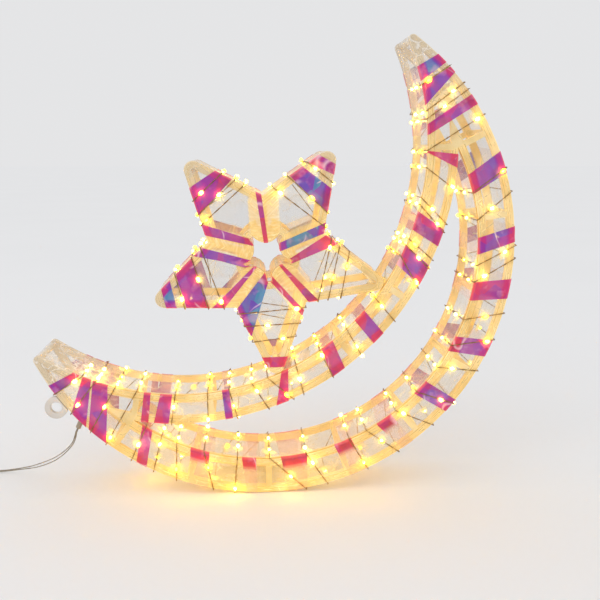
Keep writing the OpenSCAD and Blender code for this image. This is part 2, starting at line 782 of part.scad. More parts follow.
module lead_sleeve() {
    color([0.3, 0.26, 0.2]) difference() {
        translate([sleeve_foot.x, sleeve_y, sleeve_foot.y])
            rotate([0, 90 - sleeve_dir - sleeve_lean, 0]) translate([0, 0, -sleeve_d])
            cylinder(h = sleeve_l + sleeve_d, d = sleeve_d, $fn = small_fn);
        plate(-frame_depth, 2 * frame_depth) disc(bow_c, outer_edge_r + strip_out + strip_gap);
    }
}

lead_r = lead_d / 2;
lead_sides = 8;
// Gap between neighbouring turns of the coil
coil_gap = 0.6;
coil_pitch = lead_d + coil_gap;
// Centre of the coil on the ground, and its radius to the middle of the turns
coil_c = [-285, 42];
coil_r = 11;
coil_steps = 24;
coil_outer = coil_r + coil_pitch;
// The coil winds in for two turns, climbs as it reverses, and winds out again
coil_in_turns = 2;
coil_climb_turns = 0.5;
coil_turns = 5;

function coil_radius(t) =
    let (middle = coil_in_turns + coil_climb_turns / 2)
    coil_outer - coil_pitch * (t < middle ? t : 2 * middle - t);
function coil_height(t) = lead_r
    + coil_pitch * min(1, max(0, (t - coil_in_turns) / coil_climb_turns));
function coil_point(t) =
    let (a = -90 - 360 * t) [coil_c.x + coil_radius(t) * cos(a), coil_c.y + coil_radius(t) * sin(a),
        coil_height(t)];

// The lead's route from the sleeve to the coil
lead_route = [
    [-173, -27, 52.5], [-176, -24.5, 46], [-183, -19, 37.5], [-193, -12, 28.5], [-203, -4, 21.5],
    [-214, 5, 15], [-224, 13, 10], [-235, 20, 6], [-246, 24.5, 3], [-257, 27, 1.4], [-267, 28.2, 1]
];
lead_knots = concat(
    [sleeve_end, sleeve_end + 2 * lead_d * [sleeve_axis.x, 0, sleeve_axis.y]],
    lead_route,
    [coil_point(0) + [2 * lead_d, 0, 0], coil_point(0)]);
knot_steps = 3;

// A point between knots i and i + 1 of a smooth curve through all the knots
function curve(k, i, t) =
    let (p0 = k[max(i - 1, 0)], p1 = k[i], p2 = k[i + 1], p3 = k[min(i + 2, len(k) - 1)])
    (2 * p1 + t * (p2 - p0) + t * t * (2 * p0 - 5 * p1 + 4 * p2 - p3)
        + t * t * t * (3 * p1 - p0 - 3 * p2 + p3)) / 2;
lead_middle = len(lead_knots) - 3;
// No point of the lead's middle lies lower than its radius
function grounded(p) = [p.x, p.y, max(p.z, lead_r)];
lead_path = concat([lead_knots[0]],
    [for (i = [1:lead_middle]) for (j = [0:knot_steps - 1])
        grounded(curve(lead_knots, i, j / knot_steps))],
    [lead_knots[lead_middle + 1], lead_knots[lead_middle + 2]]);

lead_colour = [0.5, 0.46, 0.4];

module lead_free() {
    color(lead_colour)
        tube(lead_path, [for (p = lead_path) [0.6, 0.8, 0]], lead_r, lead_sides);
}

module lead_coil() {
    steps = coil_turns * coil_steps;
    path = [for (i = [0:steps]) coil_point(i / coil_steps)];
    echo(least_gap_mm = least_gap(path, coil_steps / 2, lead_d));
    color(lead_colour) tube(path, [for (p = path) [0, 0, 1]], lead_r, wire_sides);
}

// Battery box, which lies on the ground past the coil. Its lead comes in at its right end

cell_gap = 0.4;
cell_count = 3;
cell_pitch = cell_d + cell_gap;
plate_t = 0.5;
lip_t = 1.2;
groove_depth = box_wall / 2;
// Clear width and length of the cells' chamber
chamber_w = cell_count * cell_pitch + cell_gap;
chamber_l = cell_l + spring_l + 2 * plate_t + 2 * cell_gap;
box_w = chamber_w + 2 * box_wall;
box_l = chamber_l + bay_l + 3 * box_wall;
groove_z = box_wall + cell_d + 2 * cell_gap;
groove_h = cover_t + 2 * run_gap;
box_h = groove_z + groove_h + lip_t;
// Right end of the box, and its middle line
coil_exit = coil_point(coil_turns);
tail_l = 14;
relief_end = [coil_exit.x - tail_l, coil_exit.y, coil_exit.z];
box_right = relief_end.x - relief_l;
box_left = box_right - box_l;
// Where the lead comes in, as a share of the box's width from its middle
inlet_share = 0.2;
box_y = coil_exit.y - inlet_share * box_w;
bay_left = box_right - box_wall - bay_l;
chamber_left = box_left + box_wall;

module lead_tail() {
    path = [coil_exit, coil_exit - [lead_d, 0, 0], coil_exit - [tail_l / 2, 0, 0], relief_end];
    color(lead_colour) tube(path, [for (p = path) [0, 0, 1]], lead_r, wire_sides);
}

module strain_relief() {
    color([0.16, 0.15, 0.14]) translate([box_right, relief_end.y, relief_end.z]) rotate([0, 90, 0]) {
        cylinder(h = relief_l / 2, d = relief_d, $fn = small_fn);
        translate([0, 0, relief_l / 2])
            cylinder(h = relief_l / 2, d1 = relief_d, d2 = lead_d + 2 * coil_gap, $fn = small_fn);
    }
}

// A block with its corner at [x, y, z], where y is measured from the box's middle line
module block(x, y, z, size) {
    translate([x, box_y + y, z]) cube(size);
}

// Switch in the bay's deck. It slides along Y
knob_l = 5;
knob_w = 3;
knob_h = 2;
foot_margin = 1.5;
deck_t = box_wall;
deck_z = box_h - deck_t;
slot_l = knob_l + switch_travel + 2 * run_gap;
slot_w = knob_w + 2 * run_gap;
switch_x = bay_left + bay_l / 2;
// Middle of the slot, as a share of the box's width from its middle line
slot_share = -0.2;
slot_y = slot_share * box_w;
knob_y = slot_y - slot_l / 2 + run_gap;
foot_t = 1.4;

module battery_box() {
    color([0.9, 0.89, 0.86]) difference() {
        block(box_left, -box_w / 2, 0, [box_l, box_w, box_h]);
        // Cells' chamber, open at the top
        block(chamber_left, -chamber_w / 2, box_wall, [chamber_l, chamber_w, box_h]);
        // Grooves for the cover, open at the left end
        block(box_left - cut, -chamber_w / 2 - groove_depth, groove_z,
            [chamber_l + box_wall + cut, chamber_w + 2 * groove_depth, groove_h]);
        block(box_left - cut, -chamber_w / 2, groove_z, [box_wall + 2 * cut, chamber_w, box_h]);
        // Controller's bay and the switch's slot
        block(bay_left, -chamber_w / 2, box_wall, [bay_l, chamber_w, deck_z - box_wall]);
        block(switch_x - slot_w / 2, slot_y - slot_l / 2, deck_z - cut, [slot_w, slot_l, deck_t + 2 * cut]);
    }
}

module battery_cover() {
    color([0.9, 0.89, 0.86]) {
        width = chamber_w + 2 * groove_depth - 2 * run_gap;
        block(box_left, -width / 2, groove_z + run_gap, [chamber_l + box_wall - run_gap, width, cover_t]);
        // Thumb bar at the cover's open end
        block(box_left + foot_margin, -knob_l, groove_z + run_gap + cover_t, [foot_margin, 2 * knob_l, lip_t]);
    }
}

module power_switch() {
    color([0.14, 0.14, 0.15]) {
        block(switch_x - knob_w / 2, knob_y, deck_z - run_gap, [knob_w, knob_l, deck_t + run_gap + knob_h]);
        block(switch_x - knob_w / 2 - foot_margin, knob_y - foot_margin, deck_z - run_gap - foot_t,
            [knob_w + 2 * foot_margin, knob_l + 2 * foot_margin, foot_t]);
    }
}

// Cells lie side by side, each turned the other way from its neighbour
function cell_y(i) = (i - (cell_count - 1) / 2) * cell_pitch;
function spring_side(i) = i % 2 == 0 ? -1 : 1;
cell_left = chamber_left + plate_t + cell_gap;
nub_l = 1.2;
nub_d = 5.4;

module battery_cells() {
    color([0.2, 0.42, 0.36]) for (i = [0:cell_count - 1]) {
        start = spring_side(i) < 0 ? cell_left + spring_l : cell_left + nub_l;
        translate([start, box_y + cell_y(i), box_wall + cell_gap + cell_d / 2]) rotate([0, 90, 0]) {
            cylinder(h = cell_l - nub_l, d = cell_d, $fn = small_fn);
            translate([0, 0, spring_side(i) < 0 ? cell_l - nub_l : -nub_l])
                cylinder(h = nub_l, d = nub_d, $fn = small_fn);
        }
    }
}

spring_wire_d = 0.7;
spring_curls = 3;
spring_rings = 8;
spring_r = 3.2;

module cell_springs() {
    color([0.78, 0.78, 0.8]) for (i = [0:cell_count - 1]) {
        s = spring_side(i);
        start = s < 0 ? cell_left - cell_gap : chamber_left + chamber_l - plate_t;
        reach = spring_l + cell_gap - spring_wire_d;
        steps = spring_curls * spring_rings;
        path = [for (j = [0:steps]) [
            start - s * (spring_wire_d / 2 + reach * j / steps),
            box_y + cell_y(i) + spring_r * cos(360 * j / spring_rings),
            box_wall + cell_gap + cell_d / 2 + spring_r * sin(360 * j / spring_rings)
        ]];
        echo(least_gap_mm = least_gap(path, spring_rings / 2, spring_wire_d));
        tube(path, [for (p = path) [1, 0, 0]], spring_wire_d / 2, wire_sides);
    }
}

module contact_plates() {
    color([0.8, 0.8, 0.82]) for (x = [chamber_left, chamber_left + chamber_l - plate_t])
        block(x, -chamber_w / 2 + cell_gap, box_wall, [plate_t, chamber_w - 2 * cell_gap, cell_d]);
}

board_t = 1.2;
component_l = 6;

module controller_board() {
    color([0.12, 0.36, 0.2]) {
        block(bay_left + run_gap, -chamber_w / 2 + run_gap, box_wall,
            [bay_l - 2 * run_gap, chamber_w - 2 * run_gap, board_t]);
        // Body of the switch, which reaches up to the foot
        block(switch_x - component_l / 2, knob_y - foot_margin, box_wall + board_t,
            [component_l, knob_l + 2 * foot_margin + switch_travel,
                deck_z - 2 * run_gap - foot_t - box_wall - board_t]);
    }
}

crescent_front_frame();
crescent_rear_frame();
crescent_posts();
outer_bow_film();
inner_bow_film();
upper_tip_film();
lower_tip_film();
star_front_frame();
star_rear_frame();
star_posts();
star_film();
hanging_eyelet();
outer_bow_strips();
inner_bow_strips();
tip_strips();
star_strips();
outer_bow_wire();
inner_bow_wire();
upper_tip_wire();
lower_tip_wire();
star_wire();
outer_bow_leds();
inner_bow_leds();
tip_leds();
star_leds();
lead_sleeve();
lead_free();
lead_coil();
lead_tail();
strain_relief();
battery_box();
battery_cover();
power_switch();
battery_cells();
cell_springs();
contact_plates();
controller_board();
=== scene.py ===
# %% [markdown]
# # A light-up crescent moon with a star
# The object is a moulded plastic frame with clear film shrunk over it, coloured strips and a thin
# light wire wound round the film, and a battery box on a twin lead. The imported CAD model is the
# fixed frame of the scene, so every piece here is made in its coordinates.

# %% Load the frame
import json
import math
import random

import bmesh
import bpy
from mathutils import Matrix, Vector, kdtree, noise

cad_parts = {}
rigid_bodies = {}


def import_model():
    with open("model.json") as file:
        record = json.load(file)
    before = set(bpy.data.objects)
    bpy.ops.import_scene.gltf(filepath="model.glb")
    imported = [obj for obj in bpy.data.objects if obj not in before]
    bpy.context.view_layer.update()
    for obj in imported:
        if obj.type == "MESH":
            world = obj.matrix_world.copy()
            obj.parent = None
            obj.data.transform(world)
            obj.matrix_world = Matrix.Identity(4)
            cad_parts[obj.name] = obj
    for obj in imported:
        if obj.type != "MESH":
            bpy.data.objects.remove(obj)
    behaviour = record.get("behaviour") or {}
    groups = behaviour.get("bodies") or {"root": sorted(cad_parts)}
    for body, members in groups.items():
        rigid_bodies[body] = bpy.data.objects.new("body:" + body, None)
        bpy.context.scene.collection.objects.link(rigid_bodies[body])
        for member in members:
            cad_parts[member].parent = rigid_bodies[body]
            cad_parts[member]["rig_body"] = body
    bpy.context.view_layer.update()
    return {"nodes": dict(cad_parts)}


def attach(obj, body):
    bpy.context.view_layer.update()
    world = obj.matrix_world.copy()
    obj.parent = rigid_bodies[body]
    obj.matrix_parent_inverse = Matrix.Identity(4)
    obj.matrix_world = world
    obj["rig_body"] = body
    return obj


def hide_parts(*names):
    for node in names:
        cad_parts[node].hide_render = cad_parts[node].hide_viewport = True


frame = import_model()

# %% [markdown]
# ## Sizes
# The lengths are in millimetres, as in the CAD source, and become metres where a mesh is made. The
# crescent is the space between two circles: the outer edge and the mouth. Two bows share its tips.

# %% Sizes of the crescent and the star
MM = 0.001
OUTER_EDGE, OUTER_BOW, MOUTH, INNER_BOW = 211.0, 30.0, 205.5, 24.5
MOUTH_OFFSET, MOUTH_DIR, DEPTH, NOSE = 108.3, 130.0, 64.0, 3.6
STAR_TIP, STAR_INNER, STAR_NOSE = 99.5, 50.0, 7.0
BUMP, BUMP_PLACE, NOTCH = 13.0, 25.0, 21.0
FILM_OUT, STRIP_OUT, WIRE_OUT, LED, LED_OUT = 0.5, 0.7, 1.25, 3.6, 2.65
BLEND = 0.995


def direction(angle):
    """A unit vector [x, z] at an angle in degrees."""
    return Vector((math.cos(math.radians(angle)), math.sin(math.radians(angle))))


def meet(across, ra, rb):
    """Angle at one centre, from the line between two centres, to where circles ra and rb meet."""
    return math.degrees(math.acos((ra * ra + across * across - rb * rb) / (2 * ra * across)))


NOSE_TURN = meet(MOUTH_OFFSET, OUTER_EDGE - BLEND * NOSE, MOUTH + BLEND * NOSE)
JUNCTION_TURN = meet(MOUTH_OFFSET, OUTER_EDGE - OUTER_BOW, MOUTH + INNER_BOW)
INNER_TURN = meet(MOUTH_OFFSET, MOUTH + INNER_BOW, OUTER_EDGE - OUTER_BOW)
LEFT = NOSE + FILM_OUT - (OUTER_EDGE - BLEND * NOSE) * direction(MOUTH_DIR + NOSE_TURN).x
RIGHT = OUTER_EDGE + LED_OUT + LED / 2
BOW_C = Vector(((LEFT - RIGHT) / 2, OUTER_EDGE + FILM_OUT))
MOUTH_C = BOW_C + MOUTH_OFFSET * direction(MOUTH_DIR)
NOSE_UP, NOSE_LOW = MOUTH_DIR - NOSE_TURN, MOUTH_DIR + NOSE_TURN - 360
JOIN_UP, JOIN_LOW = MOUTH_DIR - JUNCTION_TURN, MOUTH_DIR + JUNCTION_TURN - 360
INNER_UP, INNER_LOW = MOUTH_DIR - 180 + INNER_TURN, MOUTH_DIR - 180 - INNER_TURN
STAR_ARM = STAR_TIP - STAR_NOSE
SEAT_GAP = STRIP_OUT - FILM_OUT + 0.05
STAR_REACH = MOUTH - 2 * FILM_OUT - SEAT_GAP - STAR_NOSE
STAR_C = MOUTH_C - (
    math.sqrt(STAR_REACH**2 - (STAR_ARM * direction(36).y) ** 2) - STAR_ARM * direction(36).x
) * direction(MOUTH_DIR)
print("centres of the outer edge, the mouth and the star", BOW_C[:], MOUTH_C[:], STAR_C[:])


def ray_to(angle, radius):
    """Distance from the outer edge's centre, along an angle, to a circle round the mouth's centre."""
    turn = math.radians(angle - MOUTH_DIR)
    return MOUTH_OFFSET * math.cos(turn) + math.sqrt(
        radius**2 - (MOUTH_OFFSET * math.sin(turn)) ** 2
    )


def lift(point, y):
    """A point [x, z] at depth y."""
    return Vector((point.x, y, point.y))


# %% [markdown]
# ## Camera
# A product photograph like this is taken from a little above with a normal lens. The place and the
# tilt come from the perspective of the two frames, front and rear.

# %% Camera
camera = bpy.data.objects.new("camera", bpy.data.cameras.new("camera"))
camera.data.lens, camera.data.sensor_width = 48, 36
camera.location = (-0.0220, -0.6863, 0.2933)
camera.rotation_euler = Vector((0.06103, 0.98091, -0.18464)).to_track_quat("-Z", "Y").to_euler()
bpy.context.scene.collection.objects.link(camera)
bpy.context.scene.camera = camera
print("camera", camera.data.lens, "mm lens,", round(camera.location.length, 3), "m from the origin")

# %% [markdown]
# ## Mesh helpers
# Each piece is a mesh made from points in millimetres and lists of faces. A tube is swept along a
# path with a frame that turns as little as it can, which keeps a thin wire from twisting.


# %% Mesh helpers
def piece(name, points, faces, body="ornament", smooth=True, **values):
    """A mesh object from points in millimetres. values are floats for each point, by name."""
    mesh = bpy.data.meshes.new(name)
    mesh.from_pydata([Vector(p) * MM for p in points], [], faces)
    for key, numbers in values.items():
        mesh.attributes.new(key, "FLOAT", "POINT").data.foreach_set("value", numbers)
    mesh.validate()
    cleaner = bmesh.new()
    cleaner.from_mesh(mesh)
    bmesh.ops.recalc_face_normals(cleaner, faces=cleaner.faces)
    cleaner.to_mesh(mesh)
    cleaner.free()
    mesh.shade_smooth() if smooth else mesh.shade_flat()
    made = bpy.data.objects.new(name, mesh)
    bpy.context.scene.collection.objects.link(made)
    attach(made, body)
    return made


def tube(points, radius, sides, turn=0.0):
    """Points and faces of a round tube along a path, closed at both ends."""
    path = [Vector(p) for p in points]
    last = len(path) - 1
    ahead = [(path[min(i + 1, last)] - path[max(i - 1, 0)]).normalized() for i in range(last + 1)]
    side = ahead[0].orthogonal().normalized()
    rings, faces = [], []
    for i, point in enumerate(path):
        side = (side - side.dot(ahead[i]) * ahead[i]).normalized()
        up = ahead[i].cross(side)
        for j in range(sides):
            a = turn + 2 * math.pi * j / sides
            rings.append(point + radius * (math.cos(a) * side + math.sin(a) * up))
    for i in range(last):
        for j in range(sides):
            k = (j + 1) % sides
            faces.append((i * sides + j, i * sides + k, (i + 1) * sides + k, (i + 1) * sides + j))
    faces.append(tuple(range(sides))[::-1])
    faces.append(tuple(last * sides + j for j in range(sides)))
    return rings, faces


def join(parts):
    """One list of points and one of faces from several."""
    points, faces = [], []
    for more, shapes in parts:
        faces += [tuple(i + len(points) for i in shape) for shape in shapes]
        points += more
    return points, faces


def strands(path, radius, apart, pitch, sides):
    """Two strands that turn round each other along a path."""
    points = [Vector(p) for p in path]
    last = len(points) - 1
    ahead = [(points[min(i + 1, last)] - points[max(i - 1, 0)]).normalized() for i in range(last + 1)]
    side, run, lines = ahead[0].orthogonal().normalized(), 0.0, ([], [])
    for i, point in enumerate(points):
        if i:
            run += (point - points[i - 1]).length
        side = (side - side.dot(ahead[i]) * ahead[i]).normalized()
        up = ahead[i].cross(side)
        spread = apart(i / last) if callable(apart) else apart
        a = 2 * math.pi * run / pitch
        offset = spread * (math.cos(a) * side + math.sin(a) * up)
        lines[0].append(point + offset)
        lines[1].append(point - offset)
    return join([tube(line, radius, sides) for line in lines])


def resample(points, step):
    """Points along a line of straight stretches, about a step apart, corners kept."""
    made = [Vector(points[0])]
    for a, b in zip(points, points[1:]):
        a, b = Vector(a), Vector(b)
        n = max(1, round((b - a).length / step))
        made += [a + (b - a) * i / n for i in range(1, n + 1)]
    return made


# %% [markdown]
# ## The lead
# A thin twin lead leaves the film through a short sleeve, sags to the table, and the rest of its
# half metre lies in a neat coil beside the battery box. The route is the CAD's own, so the strands
# follow the solid that the simulation uses. It is made first, because the camera decides how much
# of a lead may lie out of view.

# %% Route of the lead
LEAD = 2.0
COIL_C, COIL_R, COIL_PITCH = (-285.0, 42.0), 11.0, 2.6
COIL_TURNS, COIL_IN, COIL_CLIMB = 5, 2.0, 0.5
SLEEVE_Y = -DEPTH / 2 + 4.4
SLEEVE_DIR = NOSE_LOW + 11.2 + 6
SLEEVE_FOOT = BOW_C + (OUTER_EDGE + FILM_OUT) * direction(SLEEVE_DIR)
SLEEVE_AXIS = direction(SLEEVE_DIR + 22)
SLEEVE_END = lift(SLEEVE_FOOT + 7.0 * SLEEVE_AXIS, SLEEVE_Y)
LEAD_ROUTE = [
    (-173, -27, 52.5), (-176, -24.5, 46), (-183, -19, 37.5), (-193, -12, 28.5), (-203, -4, 21.5),
    (-214, 5, 15), (-224, 13, 10), (-235, 20, 6), (-246, 24.5, 3), (-257, 27, 1.4), (-267, 28.2, 1),
]


def coil_point(turn):
    """Place on the coil after so many turns: it winds in, climbs as it reverses, and winds out."""
    middle = COIL_IN + COIL_CLIMB / 2
    radius = COIL_R + COIL_PITCH - COIL_PITCH * (turn if turn < middle else 2 * middle - turn)
    height = LEAD / 2 + COIL_PITCH * min(1, max(0, (turn - COIL_IN) / COIL_CLIMB))
    flat = direction(-90 - 360 * turn)
    return Vector((COIL_C[0] + radius * flat.x, COIL_C[1] + radius * flat.y, height))


def smooth_curve(knots, steps):
    """A smooth curve through all the knots but the first and the last stretch's ends."""
    made = []
    for i in range(1, len(knots) - 2):
        p0, p1, p2, p3 = knots[i - 1], knots[i], knots[i + 1], knots[i + 2]
        for j in range(steps):
            t = j / steps
            made.append((2 * p1 + t * (p2 - p0) + t * t * (2 * p0 - 5 * p1 + 4 * p2 - p3)
                         + t**3 * (3 * p1 - p0 - 3 * p2 + p3)) / 2)
    return made


coil_start = coil_point(0)
coil_exit = coil_point(COIL_TURNS)
relief_end = coil_exit - Vector((14, 0, 0))
knots = [SLEEVE_END, SLEEVE_END + 2 * LEAD * lift(SLEEVE_AXIS, 0)]
knots += [Vector(p) for p in LEAD_ROUTE] + [coil_start + Vector((2 * LEAD, 0, 0)), coil_start]
lead_path = [knots[0]] + [Vector((p.x, p.y, max(p.z, LEAD / 2))) for p in smooth_curve(knots, 5)]
lead_path += [knots[-2]] + [coil_point(i / 28) for i in range(28 * COIL_TURNS + 1)]
lead_path += [coil_exit - Vector((x, 0, 0)) for x in (2, 4.5, 7, 9.5, 12)] + [relief_end]
lead_length = sum((b - a).length for a, b in zip(lead_path, lead_path[1:]))
print("lead", round(lead_length), "mm")


# %% [markdown]
# The lead is two insulated strands that lie side by side. One flat ribbon would be simpler, but two
# round strands that drift apart before the coil catch the light as the real ones do.

# %% Two strands of the lead
def lead_spread(share):
    """The strands hang a little apart before the coil and lie together in it."""
    return 0.46 + 0.95 * max(0.0, math.sin(math.pi * min(1.0, share / 0.24))) ** 2


lead = piece("twin_lead", *strands(resample(lead_path, 1.6), 0.46, lead_spread, 420.0, 8))
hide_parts("lead_free", "lead_coil", "lead_tail")
[p * MM for p in lead_path]

# %% [markdown]
# ## Shader maths
# A material is a tree of nodes. Wrapping a socket in a small class lets its maths be written as
# Python, and one method adds every other kind of node.


# %% Shader helpers
class Value:
    """One output socket. Arithmetic on it adds Math nodes."""

    def __init__(self, finish, socket):
        self.finish, self.socket = finish, socket

    def math(self, operation, *values):
        return self.finish.node("Math", {"operation": operation}, dict(enumerate(values)))

    def __add__(self, other):
        return self.math("ADD", self, other)

    def __sub__(self, other):
        return self.math("SUBTRACT", self, other)

    def __rsub__(self, other):
        return self.math("SUBTRACT", other, self)

    def __mul__(self, other):
        return self.math("MULTIPLY", self, other)

    def __pow__(self, other):
        return self.math("POWER", self, other)

    __radd__, __rmul__ = __add__, __mul__


class Finish:
    """A material, with one method that adds a node."""

    def __init__(self, name, **fixed):
        self.material = bpy.data.materials.new(name)
        self.material.use_nodes = True
        self.tree = self.material.node_tree
        self.shader = self.tree.nodes["Principled BSDF"]
        self.set(**fixed)

    def node(self, kind, settings=None, sockets=None, output=0):
        made = self.tree.nodes.new("ShaderNode" + kind)
        for key, value in (settings or {}).items():
            if key == "stops":
                ramp = made.color_ramp
                while len(ramp.elements) < len(value):
                    ramp.elements.new(1.0)
                for element, (place, colour) in zip(ramp.elements, value):
                    element.position, element.color = place, (*colour, 1.0)
            else:
                setattr(made, key, value)
        for key, value in (sockets or {}).items():
            self.put(made.inputs[key], value)
        return Value(self, made.outputs[output])

    def put(self, socket, value):
        if isinstance(value, Value):
            self.tree.links.new(value.socket, socket)
        else:
            socket.default_value = value

    def set(self, **sockets):
        for key, value in sockets.items():
            if isinstance(value, tuple) and len(value) == 3:
                value = (*value, 1.0)
            self.put(self.shader.inputs[key.replace("_", " ")], value)

    def place(self):
        return self.node("TexCoord", output=3)

    def clouds(self, scale, detail=2.0, stretch=None):
        where = self.place()
        if stretch:
            where = self.node("Mapping", {}, {"Vector": where, "Scale": stretch})
        return self.node("TexNoise", {}, {"Vector": where, "Scale": scale, "Detail": detail})

    def attribute(self, name):
        return self.node("Attribute", {"attribute_name": name}, output=2)

    def ramp(self, value, *stops):
        return self.node("ValToRGB", {"stops": stops}, {0: value})

    def blend(self, share, first, second):
        colours = {6: first, 7: second}
        for key, colour in colours.items():
            if isinstance(colour, tuple) and len(colour) == 3:
                colours[key] = (*colour, 1.0)
        return self.node("Mix", {"data_type": "RGBA"}, {0: share, **colours}, 2)

    def mask(self, value, *stops):
        """A ramp of grey. Each stop is a place and a share from 0 to 1."""
        return self.ramp(value, *((place, (share,) * 3) for place, share in stops))

    def most(self, first, second):
        return self.node("Math", {"operation": "MAXIMUM"}, {0: first, 1: second})

    def least(self, first, second):
        return self.node("Math", {"operation": "MINIMUM"}, {0: first, 1: second})

    def dimmed(self, colour, share):
        return self.node("VectorMath", {"operation": "SCALE"}, {0: colour, 3: share})

    def bump(self, height, strength, distance):
        self.set(Normal=self.node("Bump", {}, {
            "Height": height, "Strength": strength, "Distance": distance}))


# %% [markdown]
# ## Plastic of the frames
# The frames are moulded in a milky plastic that glows amber next to the lights. Real scattering
# under the surface would be slow to render, so a little emission stands in for it. It grows toward
# the table, where lights crowd together, and fades at the ends, which no light reaches. A ramp is
# kept as a short table, so distances are stretched over more of it.

# %% Plastic of the frames
RAIL_ENDS = [(BOW_C + OUTER_EDGE * direction(a), 1.0) for a in (NOSE_UP, NOSE_LOW)]
POINT_ENDS = [(STAR_C + STAR_TIP * direction(MOUTH_DIR + 72 * k), 1.7) for k in (0, 1, 4)]
STRETCH_ENDS, STRETCH_HEIGHT = 4, 2


def near_ends(finish, full, none):
    """1 within so many metres of the ends, where no light hangs, 0 further off."""
    nearest = 1.0
    for end, scale in RAIL_ENDS + POINT_ENDS:
        away = finish.node("VectorMath", {"operation": "DISTANCE"},
                           {0: finish.place(), 1: lift(end, 0) * MM}, 1)
        nearest = finish.least(away * scale, nearest)
    return finish.mask(nearest * STRETCH_ENDS, (STRETCH_ENDS * full, 1), (STRETCH_ENDS * none, 0))


def near_ground(finish, full, none):
    """1 below a height in metres, where most lights crowd together, 0 above another."""
    height = finish.node("SeparateXYZ", {}, {0: finish.place()}, 2)
    return finish.mask(
        height * STRETCH_HEIGHT, (STRETCH_HEIGHT * full, 1), (STRETCH_HEIGHT * none, 0))


rail_plastic = Finish("rail_plastic", IOR=1.5, Emission_Strength=0.5)
milk = rail_plastic.clouds(30.0, 3.0)
fine = rail_plastic.clouds(110.0, 3.0)
bare, low = near_ends(rail_plastic, 0.045, 0.1), near_ground(rail_plastic, 0.01, 0.15)
# Painted light: the base colour is amber where the beads' light fills the milky plastic, and only the
# ends keep the plastic's own pale tan.
lamplit_base = rail_plastic.ramp(
    milk * 0.75 + fine * 0.25,
    (0.35, (0.7, 0.5, 0.2)), (0.5, (0.85, 0.66, 0.33)), (0.66, (0.95, 0.82, 0.54)))
rail_plastic.set(Base_Color=rail_plastic.blend(bare, lamplit_base, (0.76, 0.64, 0.46)))
amber = rail_plastic.ramp(milk, (0.35, (0.3, 0.17, 0.01)), (0.68, (0.42, 0.28, 0.05)))
amber = rail_plastic.blend(low, amber, (0.52, 0.31, 0.02))
rail_plastic.set(Emission_Color=rail_plastic.blend(bare, amber, (0.1, 0.065, 0.025)))
rail_plastic.set(Roughness=0.16 + 0.16 * rail_plastic.clouds(160.0, 2.0))
rail_plastic.bump(fine, 0.4, 0.0004)
print("nodes in the plastic", len(rail_plastic.tree.nodes))

# %% [markdown]
# ## Clear film
# The film is thin and clear. It shows as creases, as streaks over the rails that lie under it, and as
# a gold line where it bends. A glass shader would be noisy and dark here, so the film is a plain
# surface with a low alpha that rises at those places. Its points carry how far they lie from the
# frame's edge and along the bow, in millimetres, and how much light reaches them: glow is the halo of
# a bead that touches the film, and warm is the softer tone round many of them.

# %% Clear film
clear_film = Finish("clear_film", IOR=1.45, Emission_Strength=1.0)
edge, run, petal, glow, warm = (
    clear_film.attribute(name) for name in ("edge", "run", "petal", "glow", "warm"))
margin = edge * 0.1
bare = near_ends(clear_film, 0.036, 0.075)
along_rail = clear_film.node("TexNoise", {}, {
    "Vector": clear_film.node("CombineXYZ", {}, {0: edge * 0.55, 1: run * 0.07, 2: 0.0}),
    "Scale": 1.0, "Detail": 3.0, "Distortion": 0.6})
over_rail = clear_film.mask(margin, (0.56, 1), (0.7, 0))
arris = clear_film.mask(margin, (0.03, 1), (0.08, 0))
streak_sheen = over_rail * clear_film.mask(along_rail, (0.53, 0), (0.66, 1))
folds = clear_film.clouds(62.0, 4.0)
wrinkle = clear_film.node("TexVoronoi", {"feature": "DISTANCE_TO_EDGE"}, {
    "Vector": clear_film.place(), "Scale": 60.0})
crease = clear_film.mask(wrinkle, (0.0, 1), (0.03, 0)) * clear_film.mask(folds, (0.5, 0), (0.62, 1))
crumple_and_glint = bare * clear_film.mask(clear_film.clouds(80.0, 2.0), (0.46, 0), (0.5, 1), (0.54, 0))
brow = clear_film.mask(margin, (0.5, 0), (0.55, 1), (0.62, 0)) * clear_film.mask(
    clear_film.clouds(40.0), (0.4, 0.2), (0.6, 1))
rim = clear_film.node("LayerWeight", {}, {"Blend": 0.3}, 1)
lit_haze = clear_film.mask(folds, (0.5, 0), (0.7, 1))
cover = 0.12 + sum(share * part for share, part in (
    (0.12, over_rail), (0.22, streak_sheen), (0.3, crease), (0.16, lit_haze), (0.22, rim), (0.45, arris),
    (0.42, brow), (0.36, petal), (0.6, glow), (0.26, warm), (0.06, bare), (0.4, crumple_and_glint)))
clear_film.set(Alpha=clear_film.least(cover, 0.94))
print("nodes in the film's cover", len(clear_film.tree.nodes))

# %% [markdown]
# Each cue that thickens the film also has its colour. The cream of the creases, the streaks over
# the rails and the haze, and the pale white of the crumpled ends, are painted highlights: light that
# the film catches. The colours are laid over one another from the widest patch to the finest line,
# so a gold line still shows on a hazy part.

# %% Colours of the clear film
window = clear_film.blend(warm, (0.42, 0.41, 0.4), (0.78, 0.62, 0.28))
sheet = clear_film.blend(over_rail, window, (0.84, 0.62, 0.27))
# Painted highlight: cream on the creases and on the streaks over the rails.
sheet = clear_film.blend(clear_film.most(crease, streak_sheen) * 0.8, sheet, (0.97, 0.87, 0.54))
